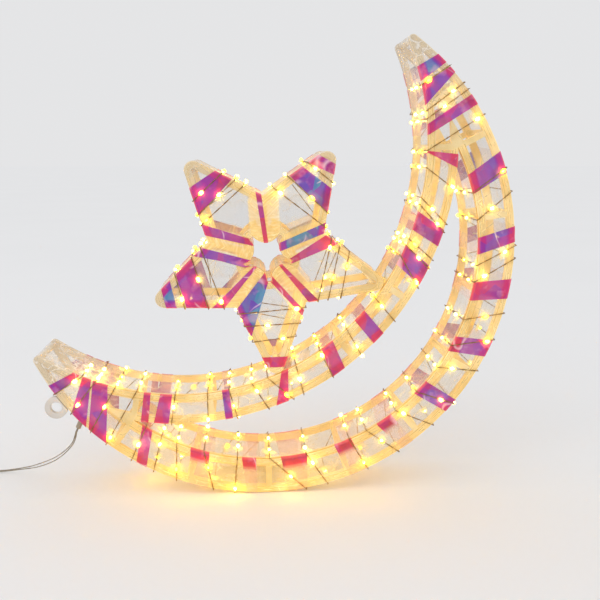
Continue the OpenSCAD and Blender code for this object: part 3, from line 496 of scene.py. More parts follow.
# Painted light: the haze is tinted cream, like film that catches the light.
sheet = clear_film.blend(lit_haze * 0.7, sheet, (0.92, 0.79, 0.48))
sheet = clear_film.blend(brow * 0.8, sheet, (0.7, 0.42, 0.1))
sheet = clear_film.blend(arris, sheet, (0.6, 0.34, 0.08))
lobes = clear_film.ramp(
    along_rail, (0.38, (0.8, 0.56, 0.21)), (0.54, (0.88, 0.68, 0.31)), (0.7, (0.95, 0.81, 0.48)))
sheet = clear_film.blend(petal, sheet, lobes)
sheet = clear_film.blend(bare * 0.8, sheet, (0.72, 0.64, 0.53))
# Painted highlight: pale white on the crumpled film near the ends.
clear_film.set(Base_Color=clear_film.blend(crumple_and_glint * 0.8, sheet, (0.93, 0.9, 0.86)))
lit_film = clear_film.blend(warm, (0.0, 0.0, 0.0), (0.6, 0.38, 0.06))
lit_film = clear_film.blend(petal * 0.35, lit_film, (0.5, 0.3, 0.06))
clear_film.set(Emission_Color=clear_film.blend(glow, lit_film, (1.0, 0.76, 0.05)))
clear_film.set(Roughness=0.06 + 0.16 * clear_film.clouds(120.0, 2.0))
clear_film.bump(folds + along_rail * over_rail * 0.4, 0.4, 0.001)
print("nodes in the clear film", len(clear_film.tree.nodes))

# %% [markdown]
# ## Coloured strips
# The strips are a dichroic film: crimson where it lies against the rails and violet to blue over the
# open windows. Its colour really comes from the angle of the light, but the strips are nearly flat,
# so a ramp driven by each strip's tone, its folds and the rails gives the same picture from all
# sides. It is thinner on the walls and on strips of the lowest tone.

# %% Coloured strips
strip_film = Finish("strip_film", Roughness=0.14, IOR=1.45, Emission_Strength=1.0)
tone, across, edge, lit, wall = (
    strip_film.attribute(name) for name in ("tone", "across", "edge", "glow", "wall"))
margin = edge * 0.1
FOLD = (1.0, 0.3, 1.0)
stretched = strip_film.node("Mapping", {}, {"Vector": strip_film.place(), "Scale": FOLD})
facets = strip_film.node("TexVoronoi", {}, {"Vector": stretched, "Scale": 80.0}, 1)
facet = strip_film.node("SeparateColor", {}, {0: facets})
seam_glint = strip_film.mask(strip_film.clouds(30.0, 1.0), (0.485, 0), (0.5, 1), (0.515, 0)) * (
    strip_film.mask(strip_film.clouds(55.0), (0.5, 0), (0.6, 1)))
gloss_highlight = strip_film.mask(strip_film.clouds(75.0, 3.0, FOLD), (0.58, 0), (0.7, 1))
shadow = strip_film.mask(strip_film.clouds(48.0, 3.0, FOLD), (0.36, 1), (0.48, 0))
sheen = strip_film.clouds(38.0, 2.0, (1.0, 0.35, 1.0))
at_rail = strip_film.mask(margin, (0.5, 1), (0.8, 0))
backlit_brink = strip_film.mask(margin, (0.06, 1), (0.2, 0))
clear_part = strip_film.mask(tone, (0.08, 1), (0.12, 0)) * strip_film.mask(across, (0.22, 0), (0.4, 1))
thin = strip_film.most(clear_part, wall)
print("nodes in the strips' cues", len(strip_film.tree.nodes))

# %% [markdown]
# One ramp holds the film's colours from crimson to blue, and the cues only move along it. Over that
# lie a painted shade in the folds, a painted orange-red glow at the frames' edges, the thin parts,
# and painted highlights on the seams and the gloss. A little of the colour shines by itself, which
# stands in for the light that comes through from inside.

# %% Colours of the strips
shade = tone * (1 - 0.5 * at_rail) + (sheen - 0.5) * 0.55 + (facet - 0.5) * 0.3 + 0.06
dyed = strip_film.ramp(
    shade, (0.0, (0.66, 0.02, 0.06)), (0.2, (0.6, 0.012, 0.13)), (0.42, (0.42, 0.006, 0.24)),
    (0.62, (0.24, 0.016, 0.34)), (0.84, (0.1, 0.05, 0.42)), (1.0, (0.03, 0.24, 0.4)))
dyed = strip_film.blend(shadow * 0.45, dyed, (0.2, 0.004, 0.07))
# Painted light: next to the frames' edges the strips turn orange-red, as in the amber light from behind.
dyed = strip_film.blend(backlit_brink * 0.7, dyed, (0.85, 0.1, 0.13))
dyed = strip_film.blend(thin * 0.75, dyed, (0.94, 0.56, 0.36))
# Painted highlight: pinkish white along the fold lines.
dyed = strip_film.blend(seam_glint * 0.65, dyed, (0.95, 0.66, 0.76))
# Painted highlight: pink on the glossy patches of the folds.
dyed = strip_film.blend(gloss_highlight * 0.3, dyed, (0.9, 0.4, 0.6))
strip_film.set(Base_Color=strip_film.dimmed(dyed, 0.8))
strip_film.set(Emission_Color=strip_film.blend(
    lit * 0.5, strip_film.dimmed(dyed, 0.32), (1.0, 0.3, 0.06)))
strip_film.set(Alpha=(0.8 + 0.25 * (sheen - 0.3)) * (1 - 0.72 * thin) + 0.3 * lit)
strip_film.bump(strip_film.clouds(150.0, 4.0, (1.0, 0.4, 1.0)) + facet * 0.6, 0.4, 0.001)
print("nodes in the strips' film", len(strip_film.tree.nodes))

# %% [markdown]
# ## Wire and lights
# The wire is lacquered copper. A light is a chip of a few tenths of a millimetre in a drop of clear
# resin. In a photograph the chip burns out to white and its drop shines yellow, so the chip is a
# strong emitter and the drop a weak one that lets the chip through.

# %% Wire and lights
light_wire = Finish("light_wire", Roughness=0.5, IOR=1.4)
light_wire.set(Base_Color=light_wire.ramp(
    light_wire.clouds(300.0), (0.3, (0.15, 0.07, 0.01)), (0.7, (0.42, 0.24, 0.06))))
chip = Finish("light_core", Base_Color=(1.0, 0.9, 0.6), Roughness=0.4, Emission_Strength=80.0)
chip.set(Emission_Color=chip.ramp(
    chip.clouds(60.0, 0.0), (0.4, (1.0, 0.6, 0.01)), (0.46, (1.0, 0.68, 0.16))))
bead = Finish("light_bead", Roughness=0.12, IOR=1.5, Emission_Strength=1.1)
bead.set(Emission_Color=bead.ramp(bead.clouds(90.0), (0.3, (1.0, 0.7, 0.03)), (0.7, (1.0, 0.84, 0.06))))
bead.set(Base_Color=bead.ramp(bead.clouds(90.0), (0.3, (0.9, 0.66, 0.12)), (0.7, (1.0, 0.8, 0.22))))
bead.set(Alpha=0.62 + 0.12 * bead.clouds(150.0))
print("wire, chip and bead", light_wire.material.name, chip.material.name, bead.material.name)

# %% [markdown]
# The small parts are moulded plastic, rubber and plated steel. They differ only in colour, grain and
# gloss, so one function makes them all. Cells, contacts and board keep the CAD's own meshes.

# %% Small parts
lead_skin = Finish("lead_skin", Roughness=0.3, IOR=1.5)
lead_skin.set(Base_Color=lead_skin.ramp(
    lead_skin.clouds(180.0), (0.3, (0.2, 0.16, 0.11)), (0.7, (0.4, 0.34, 0.26))))


def moulded(name, dark, pale, rough, grain=420.0):
    """A moulded plastic or plated metal with a fine grain."""
    made = Finish(name)
    made.set(Base_Color=made.ramp(made.clouds(35.0, 3.0), (0.3, dark), (0.7, pale)))
    made.set(Roughness=rough + 0.12 * made.clouds(grain, 2.0))
    made.bump(made.clouds(grain * 2, 2.0), 0.25, 0.0003)
    return made


box_plastic = moulded("box_plastic", (0.74, 0.73, 0.7), (0.82, 0.81, 0.78), 0.38)
dark_plastic = moulded("dark_plastic", (0.015, 0.015, 0.016), (0.03, 0.03, 0.032), 0.35)
eyelet_plastic = moulded("eyelet_plastic", (0.6, 0.54, 0.48), (0.78, 0.73, 0.67), 0.25)
sleeve_rubber = moulded("sleeve_rubber", (0.3, 0.24, 0.17), (0.46, 0.38, 0.28), 0.35)
plated = moulded("plated_steel", (0.6, 0.6, 0.61), (0.75, 0.75, 0.76), 0.22)
plated.set(Metallic=1.0)
cell_sleeve = moulded("cell_sleeve", (0.02, 0.16, 0.12), (0.03, 0.22, 0.17), 0.3)
board_green = moulded("board_green", (0.01, 0.12, 0.05), (0.02, 0.2, 0.08), 0.4)
for name, finish in (
    ("battery_cells", cell_sleeve), ("contact_plates", plated),
    ("controller_board", board_green), ("strain_relief", dark_plastic)):
    node = frame["nodes"][name]
    node.data.materials.clear()
    node.data.materials.append(finish.material)
lead.data.materials.append(lead_skin.material)
print("materials", len(bpy.data.materials))

# %% [markdown]
# ## Rounded castings
# Moulded pieces have no sharp edges. A copy of the solid is welded, its flat faces are merged, and
# its sharp edges are bevelled, so the piece keeps the CAD's size and gains its rounding.


# %% Rounded copies
def rounded(node, width, finish, segments=3, name=None):
    """A copy of a CAD solid with rounded edges, which stands for it."""
    source = frame["nodes"][node]
    mesh = source.data.copy()
    shape = bmesh.new()
    shape.from_mesh(mesh)
    bmesh.ops.remove_doubles(shape, verts=shape.verts, dist=1e-6)
    bmesh.ops.dissolve_limit(
        shape, angle_limit=math.radians(0.4), verts=shape.verts, edges=shape.edges)
    sharp = [e for e in shape.edges if len(e.link_faces) == 2
             and e.calc_face_angle(0) > math.radians(35)]
    bmesh.ops.bevel(shape, geom=sharp, offset=width * MM, segments=segments, profile=0.5,
                    affect="EDGES", clamp_overlap=True)
    bmesh.ops.triangulate(shape, faces=[f for f in shape.faces if len(f.verts) > 4])
    shape.to_mesh(mesh)
    shape.free()
    mesh.shade_smooth()
    mesh.materials.clear()
    mesh.materials.append(finish.material)
    made = bpy.data.objects.new(name or node + "_cast", mesh)
    bpy.context.scene.collection.objects.link(made)
    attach(made, source["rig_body"])
    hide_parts(node)
    print(made.name, "faces", len(mesh.polygons))
    return made


for node in ("crescent_front_frame", "crescent_rear_frame", "star_front_frame", "star_rear_frame"):
    rounded(node, 1.7, rail_plastic)
for node in ("crescent_posts", "star_posts"):
    rounded(node, 0.3, rail_plastic, 1)

# %% [markdown]
# ## The film
# The film is shrunk round the rails, so in section it is a rounded rectangle that follows each bow,
# the tips and the star. Each stretch is a row of such rings between a point on its inner wall and
# one on its outer wall, dented a little by noise. The strips lie on the same dented surface.


# %% Rings of film
def dent(point):
    """How far the film stands out of its even surface at a point, in millimetres."""
    fine = noise.noise(point * 0.16)
    crease = 1 - abs(noise.noise(point * 0.07 + Vector((7, 3, 1)))) * 2
    return 0.1 * fine + 0.1 * crease - 0.08


FILM_CORNER, WALL_MARGIN = 2.0, 3


def section(inner_at, outer_at, g, across=18, along=28):
    """Ring round the rails. For each place, how far it lies from the frames' nearest edge, its share
    of the way across the bow, and 1 where it lies on a wall.

    inner_at and outer_at give the [x, z] ends of the ring at a share of the depth."""
    half, start, end = DEPTH / 2 + g, inner_at(0), outer_at(0)
    width = (end - start).length
    corner = min(FILM_CORNER, width * 0.45)
    flat = [corner + (width - 2 * corner) * i / across for i in range(across + 1)]
    deep = [corner - half + (2 * half - 2 * corner) * i / along for i in range(1, along)]
    ring = [(s, -half, 0, -1) for s in flat]
    for cx, cy, first in ((width - corner, corner - half, -90), (width - corner, half - corner, 0),
                          (corner, half - corner, 90), (corner, corner - half, 180)):
        turns = (0, 30, 60, 90) if first in (0, 180) else (30, 60, 90)
        for t in turns:
            d = direction(first + t)
            if first == 0 and t == 0:
                ring += [(width, y, 1, 0) for y in deep]
            if first == 180 and t == 0:
                ring += [(0.0, y, -1, 0) for y in deep[::-1]]
            ring.append((cx + corner * d.x, cy + corner * d.y, d.x, d.y))
        if first == 0:
            ring += [(s, half, 0, 1) for s in flat[-2:0:-1]]
    made = []
    for s, y, nx, ny in ring:
        depth = (y + half) / (2 * half)
        a, b = inner_at(depth), outer_at(depth)
        e = (b - a).normalized()
        point = lift(a + (b - a) * (s / width), y)
        out = Vector((e.x * nx, ny, e.y * nx))
        edge = min(s, width - s) if ny else half - abs(y)
        on_wall = 1.0 if abs(y) < half - WALL_MARGIN else 0.0
        made.append((point + out * dent(point), max(0.0, edge), s / width, on_wall))
    return made


SKIN = FILM_OUT - 0.15


def skin(name, rows, closed=False, **steps):
    """A skin of film over rows of [inner, outer] points of the film's surface."""
    rings = [section(lambda _, a=a: a, lambda _, b=b: b, SKIN, **steps) for a, b in rows]
    n, m = len(rings), len(rings[0])
    faces = []
    for i in range(n if closed else n - 1):
        for j in range(m):
            a, b, k = i * m, (i + 1) % n * m, (j + 1) % m
            faces.append((a + j, a + k, b + k, b + j))
    run, travelled = [], 0.0
    for i, (a, b) in enumerate(rows):
        travelled += ((a + b) / 2 - (rows[i - 1][0] + rows[i - 1][1]) / 2).length if i else 0.0
        run += [travelled] * m
    points = [row[0] for ring in rings for row in ring]
    petal = [on_lobe(p) if closed else 0.0 for p in points]
    made = piece(name, points, faces, edge=[row[1] for ring in rings for row in ring], run=run,
                 petal=petal, glow=[0.0] * len(points), warm=[0.0] * len(points))
    made.data.materials.append(clear_film.material)
    print(name, "rings", n, "of", m)
    return made


def on_lobe(place):
    """1 on the five amber lobes that join the star's opening to its notches, 0 off them."""
    out = Vector((place.x, place.z)) - STAR_C
    turn = math.radians((math.degrees(math.atan2(out.y, out.x)) - MOUTH_DIR) % 72 - 36)
    ahead, beside = out.length * math.cos(turn), out.length * math.sin(turn)
    ahead -= min(44.0, max(BUMP_PLACE, ahead))
    return max(0.0, min(1.0, (BUMP + 0.6 - math.hypot(ahead, beside)) / 1.5))


# %% [markdown]
# A place on a wall is given by a share of the bow's length and a distance outside the frames. The
# film, the strips, the wire and the lights all ask the same functions, so they lie one over another
# as they do on the real object, with no numbers kept twice.

# %% Places on the walls
def between(a, b, share):
    return a + (b - a) * share


def outer_far(share, g):
    return BOW_C + (OUTER_EDGE + g) * direction(between(JOIN_UP, JOIN_LOW, share))


def outer_near(share, g):
    return BOW_C + (OUTER_EDGE - OUTER_BOW - g) * direction(between(JOIN_UP, JOIN_LOW, share))


def inner_far(share, g):
    return MOUTH_C + (MOUTH + INNER_BOW + g) * direction(between(INNER_UP, INNER_LOW, share))


def inner_near(share, g):
    return MOUTH_C + (MOUTH - g) * direction(between(INNER_UP, INNER_LOW, share))


def tip_walls(junction, nose):
    """The far and the near wall of a tip."""
    def far(share, g):
        return BOW_C + (OUTER_EDGE + g) * direction(between(junction, nose, share))

    def near(share, g):
        angle = between(junction, nose, share)
        return BOW_C + ray_to(angle, MOUTH - g) * direction(angle)
    return near, far


print("middle of the outer wall", outer_far(0.5, 0)[:])

# %% [markdown]
# The rows of the bows are steps of a share. The mesh is finer than its shape needs, because each
# point also carries its share of the lights' glow, which would look jagged on a coarse one.

# %% Film of the bows and the tips
OUTER_STEPS, INNER_STEPS = 360, 260
cut_in = [BOW_C + ray_to(a, MOUTH) * direction(a) - MOUTH_C for a in (JOIN_UP, JOIN_LOW)]
CUT_UP, CUT_LOW = (math.degrees(math.atan2(p.y, p.x)) for p in cut_in)


def tip_rows(junction, nose, steps=80, cap=7):
    """Rows from a junction to a nose and round its end."""
    near, far = tip_walls(junction, nose)
    rows = [(near(i / steps, SKIN), far(i / steps, SKIN)) for i in range(steps + 1)]
    middle = BOW_C + (OUTER_EDGE - BLEND * NOSE) * direction(nose)
    past = direction(nose + (90 if nose > junction else -90))
    for i in range(1, cap + 1):
        turn = direction(84 * i / cap) * (NOSE + SKIN)
        rows.append((middle + past * turn.y - direction(nose) * turn.x,
                     middle + past * turn.y + direction(nose) * turn.x))
    return rows


outer_rows = [(outer_near(i / OUTER_STEPS, SKIN), outer_far(i / OUTER_STEPS, SKIN))
              for i in range(OUTER_STEPS + 1)]
inner_rows = [(MOUTH_C + (MOUTH - SKIN) * direction(between(CUT_UP, CUT_LOW, i / INNER_STEPS)),
               inner_far(i / INNER_STEPS, SKIN)) for i in range(INNER_STEPS + 1)]
film = {
    "outer_bow_film": skin("outer_bow_skin", outer_rows),
    "inner_bow_film": skin("inner_bow_skin", inner_rows),
    "upper_tip_film": skin("upper_tip_skin", tip_rows(JOIN_UP, NOSE_UP), across=24),
    "lower_tip_film": skin("lower_tip_skin", tip_rows(JOIN_LOW, NOSE_LOW), across=24),
}

# %% [markdown]
# The star's film runs round its outline and round the flower-shaped opening. Seen from the middle,
# both are single-valued, so each row joins the opening to the outline along one ray.

# %% Film of the star
corner = STAR_INNER * direction(-36)
span = Vector((STAR_ARM, 0)) - corner
SIDE_STEPS = 34
SLOPE = math.degrees(math.atan2(span.y, span.x) - math.asin(BLEND * STAR_NOSE / span.length))


def turned(p, angle):
    d = direction(angle)
    return Vector((p.x * d.x - p.y * d.y, p.x * d.y + p.y * d.x))


def opening(angle):
    """Distance from the star's middle to the edge of its opening along an angle."""
    near = (angle - MOUTH_DIR) % 72 - 36
    across = BUMP_PLACE * math.sin(math.radians(near))
    if abs(across) < BUMP:
        reach = BUMP_PLACE * math.cos(math.radians(near)) - math.sqrt(BUMP**2 - across**2)
        return min(reach, NOTCH)
    return NOTCH


def opening_side(k, turn, g):
    """A place on the opening's edge at a turn from a point's direction."""
    angle = MOUTH_DIR + 72 * k + turn
    return STAR_C + (opening(angle) - g) * direction(angle)


def star_side(k, share, s, g):
    """A place on a side of one of the star's points, at a share of the point's length."""
    x = share * STAR_TIP
    y = -corner.y - (x - corner.x) * math.tan(math.radians(SLOPE)) + g / direction(SLOPE).x
    return STAR_C + turned(Vector((x, s * y)), MOUTH_DIR + 72 * k)


def star_rows():
    rows = []
    for k in range(5):
        sides = [between(corner.x, STAR_ARM - 4.0, i / SIDE_STEPS) / STAR_TIP
                 for i in range(SIDE_STEPS + 1)]
        outline = [star_side(k, share, -1, SKIN) for share in sides]
        middle = STAR_C + STAR_ARM * direction(MOUTH_DIR + 72 * k)
        outline += [middle + (STAR_NOSE + SKIN) * direction(MOUTH_DIR + 72 * k + a)
                    for a in range(-66, 67, 12)]
        outline += [star_side(k, share, 1, SKIN) for share in sides[:0:-1]]
        for place in outline:
            out = place - STAR_C
            angle = math.degrees(math.atan2(out.y, out.x))
            rows.append((STAR_C + (opening(angle) - SKIN) * direction(angle), place))
    return rows


film["star_film"] = skin("star_skin", star_rows(), closed=True, across=36)
for node, made in film.items():
    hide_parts(node)

# %% [markdown]
# ## Coloured strips
# Each strip is a band wrapped once round a bow, over both faces and both walls. A row holds where its
# two edges cross the inner wall and the outer wall, as shares of the bow's length, and its tone: low
# is crimson, high is blue. The wrap drifts a little on its way to the rear, as it does by hand.

# %% Places of the strips
OUTER_STRIPS = [
    (0.049, 0.083, 0.033, 0.065, 0.62), (0.158, 0.187, 0.144, 0.167, 0.55),
    (0.235, 0.268, 0.222, 0.252, 0.35), (0.335, 0.364, 0.318, 0.345, 0.42),
    (0.43, 0.46, 0.424, 0.447, 0.6), (0.516, 0.547, 0.514, 0.534, 0.05),
    (0.599, 0.631, 0.596, 0.624, 0.05), (0.681, 0.728, 0.692, 0.72, 0.02),
    (0.772, 0.797, 0.768, 0.784, 0.03), (0.855, 0.889, 0.844, 0.873, 0.02),
    (0.962, 0.982, 0.941, 0.958, 0.35)]
INNER_STRIPS = [
    (0.008, 0.012, 0.014, 0.042, 0.3), (0.146, 0.19, 0.17, 0.206, 0.4),
    (0.228, 0.278, 0.25, 0.294, 0.55), (0.409, 0.442, 0.419, 0.449, 0.4),
    (0.512, 0.545, 0.529, 0.562, 0.35),
    (0.637, 0.655, 0.667, 0.695, 0.18), (0.785, 0.802, 0.79, 0.806, 0.55),
    (0.919, 0.947, 0.926, 0.957, 0.3), (0.969, 0.985, 0.968, 0.984, 0.25)]
UPPER_STRIPS = [
    (0.265, 0.363, 0.241, 0.337, 0.4), (0.522, 0.686, 0.563, 0.623, 0.62),
    (0.717, 0.83, 0.67, 0.764, 0.72)]
LOWER_STRIPS = [
    (0.435, 0.57, 0.06, 0.255, 0.4), (0.585, 0.66, 0.285, 0.46, 0.5), (0.69, 0.75, 0.67, 0.77, 0.55)]
print("strips on the bows and tips", *map(len, (OUTER_STRIPS, INNER_STRIPS, UPPER_STRIPS, LOWER_STRIPS)))


def band(inner_at, outer_at, tone, drift=0.0, steps=12, **counts):
    """Ring places, faces and tone of one strip. inner_at and outer_at give a wall's place at a share
    from one edge of the strip to the other and at a drift along the bow."""
    rings = [section(lambda d, u=i / steps: inner_at(u, drift * d),
                     lambda d, u=i / steps: outer_at(u, drift * d), STRIP_OUT, **counts)
             for i in range(steps + 1)]
    n = len(rings[0])
    rows = [row for ring in rings for row in ring]
    faces = [(i * n + j, i * n + (j + 1) % n, (i + 1) * n + (j + 1) % n, (i + 1) * n + j)
             for i in range(steps) for j in range(n)]
    return rows, faces, tone


def bow_band(row, near, far, drift, **counts):
    a0, a1, b0, b1, tone = row
    return band(lambda u, d: near(between(a0, a1, u) + d, STRIP_OUT),
                lambda u, d: far(between(b0, b1, u) + d, STRIP_OUT), tone, drift, **counts)


def strips(name, node, bands):
    rows, faces, tones = [], [], []
    for more, shapes, tone in bands:
        faces += [tuple(i + len(rows) for i in shape) for shape in shapes]
        rows, tones = rows + more, tones + [tone] * len(more)
    points, edges, shares, on_wall = zip(*rows)
    made = piece(name, points, faces, tone=tones, edge=edges, across=shares, wall=on_wall,
                 glow=[0.0] * len(points))
    made.data.materials.append(strip_film.material)
    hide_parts(node)
    print(name, "bands", len(bands))
    return made


def inner_drift(row):
    """The first and the last strip of the inner bow lie against its ends, so they don't drift."""
    return 0.0 if row[0] < 0.1 or row[1] > 0.96 else rng.uniform(-0.02, 0.02)


rng = random.Random(3)
wrapped = [
    strips("outer_bow_bands", "outer_bow_strips", [
        bow_band(row, outer_near, outer_far, rng.uniform(-0.012, 0.012)) for row in OUTER_STRIPS]),
    strips("inner_bow_bands", "inner_bow_strips", [
        bow_band(row, inner_near, inner_far, inner_drift(row)) for row in INNER_STRIPS]),
    strips("tip_bands", "tip_strips", [
        bow_band(row, *tip_walls(j, n), 0.0, across=16)
        for j, n, rows in ((JOIN_UP, NOSE_UP, UPPER_STRIPS), (JOIN_LOW, NOSE_LOW, LOWER_STRIPS))
        for row in rows]),
]

# %% [markdown]
# On the star a strip either crosses one point, from side to side, or runs from the outline in to the
# opening. Both kinds are the same band with other walls.

# %% Strips of the star
POINT_STRIPS = [
    (0, 0.62, 0.84, 0.67, 0.81, 0.5), (1, 0.86, 0.94, 0.82, 0.915, 0.7),
    (1, 0.61, 0.785, 0.575, 0.755, 0.45), (2, 0.86, 0.95, 0.85, 0.94, 0.24),
    (4, 0.83, 0.93, 0.86, 0.94, 0.45), (4, 0.66, 0.78, 0.57, 0.755, 0.8)]
RING_STRIPS = [
    (0, 1, 0.56, 0.47, 0.04, 0.15, 0.5), (0, -1, 0.475, 0.425, -0.36, -0.61, 0.3),
    (1, -1, 0.56, 0.47, 0.12, -0.16, 0.55), (1, 1, 0.595, 0.5, 0.17, 0.3, 0.4),
    (2, -1, 0.425, 0.675, -0.2, -0.03, 0.75), (2, 1, 0.475, 0.52, 0.11, 0.02, 0.2),
    (3, 1, 0.43, 0.545, 0.085, -0.04, 0.3), (3, -1, 0.51, 0.43, -0.18, -0.32, 0.35),
    (4, -1, 0.5, 0.415, -0.12, -0.48, 0.95)]


def point_band(k, a0, a1, b0, b1, tone):
    return band(lambda u, d: star_side(k, between(a0, a1, u), 1, STRIP_OUT),
                lambda u, d: star_side(k, between(b0, b1, u), -1, STRIP_OUT), tone, across=16)


def ring_band(k, side, b0, b1, a0, a1, tone):
    return band(lambda u, d: opening_side(k, 72 * between(a0, a1, u), STRIP_OUT),
                lambda u, d: star_side(k, between(b0, b1, u), side, STRIP_OUT), tone, across=16)


wrapped.append(strips("star_bands", "star_strips", [point_band(*row) for row in POINT_STRIPS]
                      + [ring_band(*row) for row in RING_STRIPS]))

# %% [markdown]
# ## The light wire
# The wire crosses the front from one wall to the other and comes back up the rear, turn after turn.
# It is two thin strands laid together, and each light sits on it as a drop of clear resin over a
# small bright chip.

# %% Turns of the wire
OUTER_TURNS = [
    (0.058, 0.081), (0.093, 0.128), (0.172, 0.206), (0.191, 0.235), (0.274, 0.303), (0.316, 0.353),
    (0.369, 0.398), (0.43, 0.455), (0.475, 0.505), (0.541, 0.568), (0.595, 0.602), (0.66, 0.683),
    (0.709, 0.748), (0.767, 0.805), (0.831, 0.865), (0.892, 0.915), (0.929, 0.944), (0.966, 0.975)]
INNER_TURNS = [
    (0.086, 0.045), (0.158, 0.114), (0.175, 0.13), (0.236, 0.212), (0.255, 0.228), (0.301, 0.256),
    (0.385, 0.37), (0.485, 0.469), (0.56, 0.55), (0.632, 0.616), (0.655, 0.69), (0.711, 0.729),
    (0.78, 0.785), (0.843, 0.836), (0.92, 0.912)]
UPPER_TURNS = [(0.14, 0.13), (0.385, 0.41), (0.45, 0.475), (0.63, 0.69)]
LOWER_TURNS = [(0.06, 0.17), (0.23, 0.37), (0.46, 0.55), (0.68, 0.67)]
STAR_TURNS = [
    [(0.55, 0.57), (0.63, 0.65), (0.74, 0.76)], [(0.5, 0.48), (0.62, 0.58), (0.8, 0.76)],
    [(0.45, 0.46), (0.58, 0.57), (0.69, 0.71)], [(0.48, 0.5), (0.56, 0.58), (0.65, 0.68)],
    [(0.51, 0.46), (0.65, 0.57), (0.83, 0.8)]]
FACE = DEPTH / 2 + WIRE_OUT
BEND = 0.4
STRAND, STRAND_APART, STRAND_TURN = 0.25, 0.27, 19.0
EDGE = FACE - BEND
REST_HALF = math.degrees(math.acos(1 - (WIRE_OUT + 0.4 - FILM_OUT + 0.1) / OUTER_EDGE))


def clear_of_rest(angle):
    """The outer wall's wire is led past the line on which the ornament stands."""
    x = angle + 90
    return math.copysign(REST_HALF + abs(x) / 2, x) - 90 if abs(x) < 2 * REST_HALF else angle


def walls(turns, far, near, g):
    return [far(t[0], g) for t in turns], [near(t[1], g) for t in turns]


def outer_far_clear(share, g):
    return BOW_C + (OUTER_EDGE + g) * direction(clear_of_rest(between(JOIN_UP, JOIN_LOW, share)))


def windings(g):
    """Where each stretch's turns cross its two walls, g outside the frames."""
    upper, lower = tip_walls(JOIN_UP, NOSE_UP), tip_walls(JOIN_LOW, NOSE_LOW)
    return {
        "outer_bow": [walls(OUTER_TURNS, outer_far_clear, outer_near, g)],
        "inner_bow": [walls(INNER_TURNS, inner_far, inner_near, g)],
        "upper_tip": [walls(UPPER_TURNS, upper[1], upper[0], g)],
        "lower_tip": [walls(LOWER_TURNS, lower[1], lower[0], g)],
        "star": [walls(STAR_TURNS[k], lambda s, g, k=k: star_side(k, s, 1, g),
                       lambda s, g, k=k: star_side(k, s, -1, g), g) for k in range(5)],
    }


print("turns on the bows", len(OUTER_TURNS), len(INNER_TURNS))

# %% [markdown]
# A round tube of 0.8 mm would look like a rod. The real wire is two lacquered strands laid together,
# so two thin tubes turn slowly round each other along the CAD's path.

# %% Strands of the wire
def winding(a, b):
    """Corners of a winding: down the front from a[i] to b[i] and up the rear to a[i + 1]."""
    def toward(p, q):
        return p + BEND * (q - p).normalized()
    path = [lift(a[0], 0)]
    for i in range(len(a)):
        path += [lift(a[i], -EDGE), lift(toward(a[i], b[i]), -FACE),
                 lift(toward(b[i], a[i]), -FACE), lift(b[i], -EDGE)]
        if i < len(a) - 1:
            path += [lift(b[i], EDGE), lift(toward(b[i], a[i + 1]), FACE),
                     lift(toward(a[i + 1], b[i]), FACE), lift(a[i + 1], EDGE)]
    return path + [lift(b[-1], 0)]


for name, stretches in windings(WIRE_OUT).items():
    made = piece(name + "_strands", *join(
        [strands(resample(winding(a, b), 2.5), STRAND, STRAND_APART, STRAND_TURN, 5)
         for a, b in stretches]))
    made.data.materials.append(light_wire.material)
    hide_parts(name + "_wire")
    name + "_wire"
    print(made.name, "points", len(made.data.vertices))

# %% [markdown]
# The lights sit along the wire. A steady step of 0.618 of the run spreads them without a pattern that
# the eye would catch, and gives the same places in the CAD and here.

# %% Places of the lights
LED_REACH = LED_OUT + LED / 2
LED_FACE = DEPTH / 2 + LED_OUT
NOSES = [STAR_C + STAR_ARM * direction(MOUTH_DIR + 72 * k) for k in range(5)]


def spread(i, start):
    """A share from 0 to 1 that moves on by a steady step from one turn to the next."""
    return (i * 0.618 + start) % 1


def on_face(i, start):
    """A share of the way across a face, clear of its two walls."""
    return 0.16 + 0.68 * spread(i, start)


def has_room(p):
    """A light needs room above the ground, between the bows and beside the star's points."""
    flat = Vector((p.x, p.z))
    from_bow, from_mouth = flat - BOW_C, flat - MOUTH_C
    in_gap = from_bow.length < OUTER_EDGE - OUTER_BOW and from_mouth.length > MOUTH + INNER_BOW
    angle = math.degrees(math.atan2(from_bow.y, from_bow.x))
    if p.z <= LED / 2:
        return False
    if in_gap and OUTER_EDGE - OUTER_BOW - ray_to(angle, MOUTH + INNER_BOW) <= 2 * LED_REACH:
        return False
    return min((flat - q).length for q in NOSES) > STAR_NOSE + LED_REACH


CLUSTER = [(1, -0.95), (1, -0.72), (2, -0.68), (2, -0.44)]


def light_places(a, b, crowd=()):
    """Places and wire directions of a winding's lights. A crowd of more sits on its near wall."""
    half, made = DEPTH / 2 - LED, []
    for i, (p, q) in enumerate(zip(a, b)):
        last = i == len(a) - 1
        made.append((lift(p + on_face(i, 0) * (q - p), -LED_FACE), lift(q - p, 0)))
        deep = Vector((0, 1, 0))
        made += [(lift(q, 0 if last else half * (2 * spread(i, 0.3) - 1)), deep),
                 (lift(q, half * (-0.6 if last else 2 * spread(i, 0.8) - 1)), deep),
                 (lift(p, 0 if i == 0 else half * (2 * spread(i, 0.7) - 1)), deep)]
        if i % 2 and not last:
            back = a[i + 1] - q
            made.append((lift(q + on_face(i, 0.5) * back, LED_FACE), lift(back, 0)))
    made += [(lift(b[i], share * half), Vector((0, 1, 0))) for i, share in crowd]
    return [m for m in made if has_room(m[0])]


print("lights stand out", round(LED_REACH, 2), "mm from the frames")

# %% [markdown]
# Each light is two meshes: a small bright chip and the drop of resin round it. The drop is drawn out
# along the wire, as resin is before it sets.

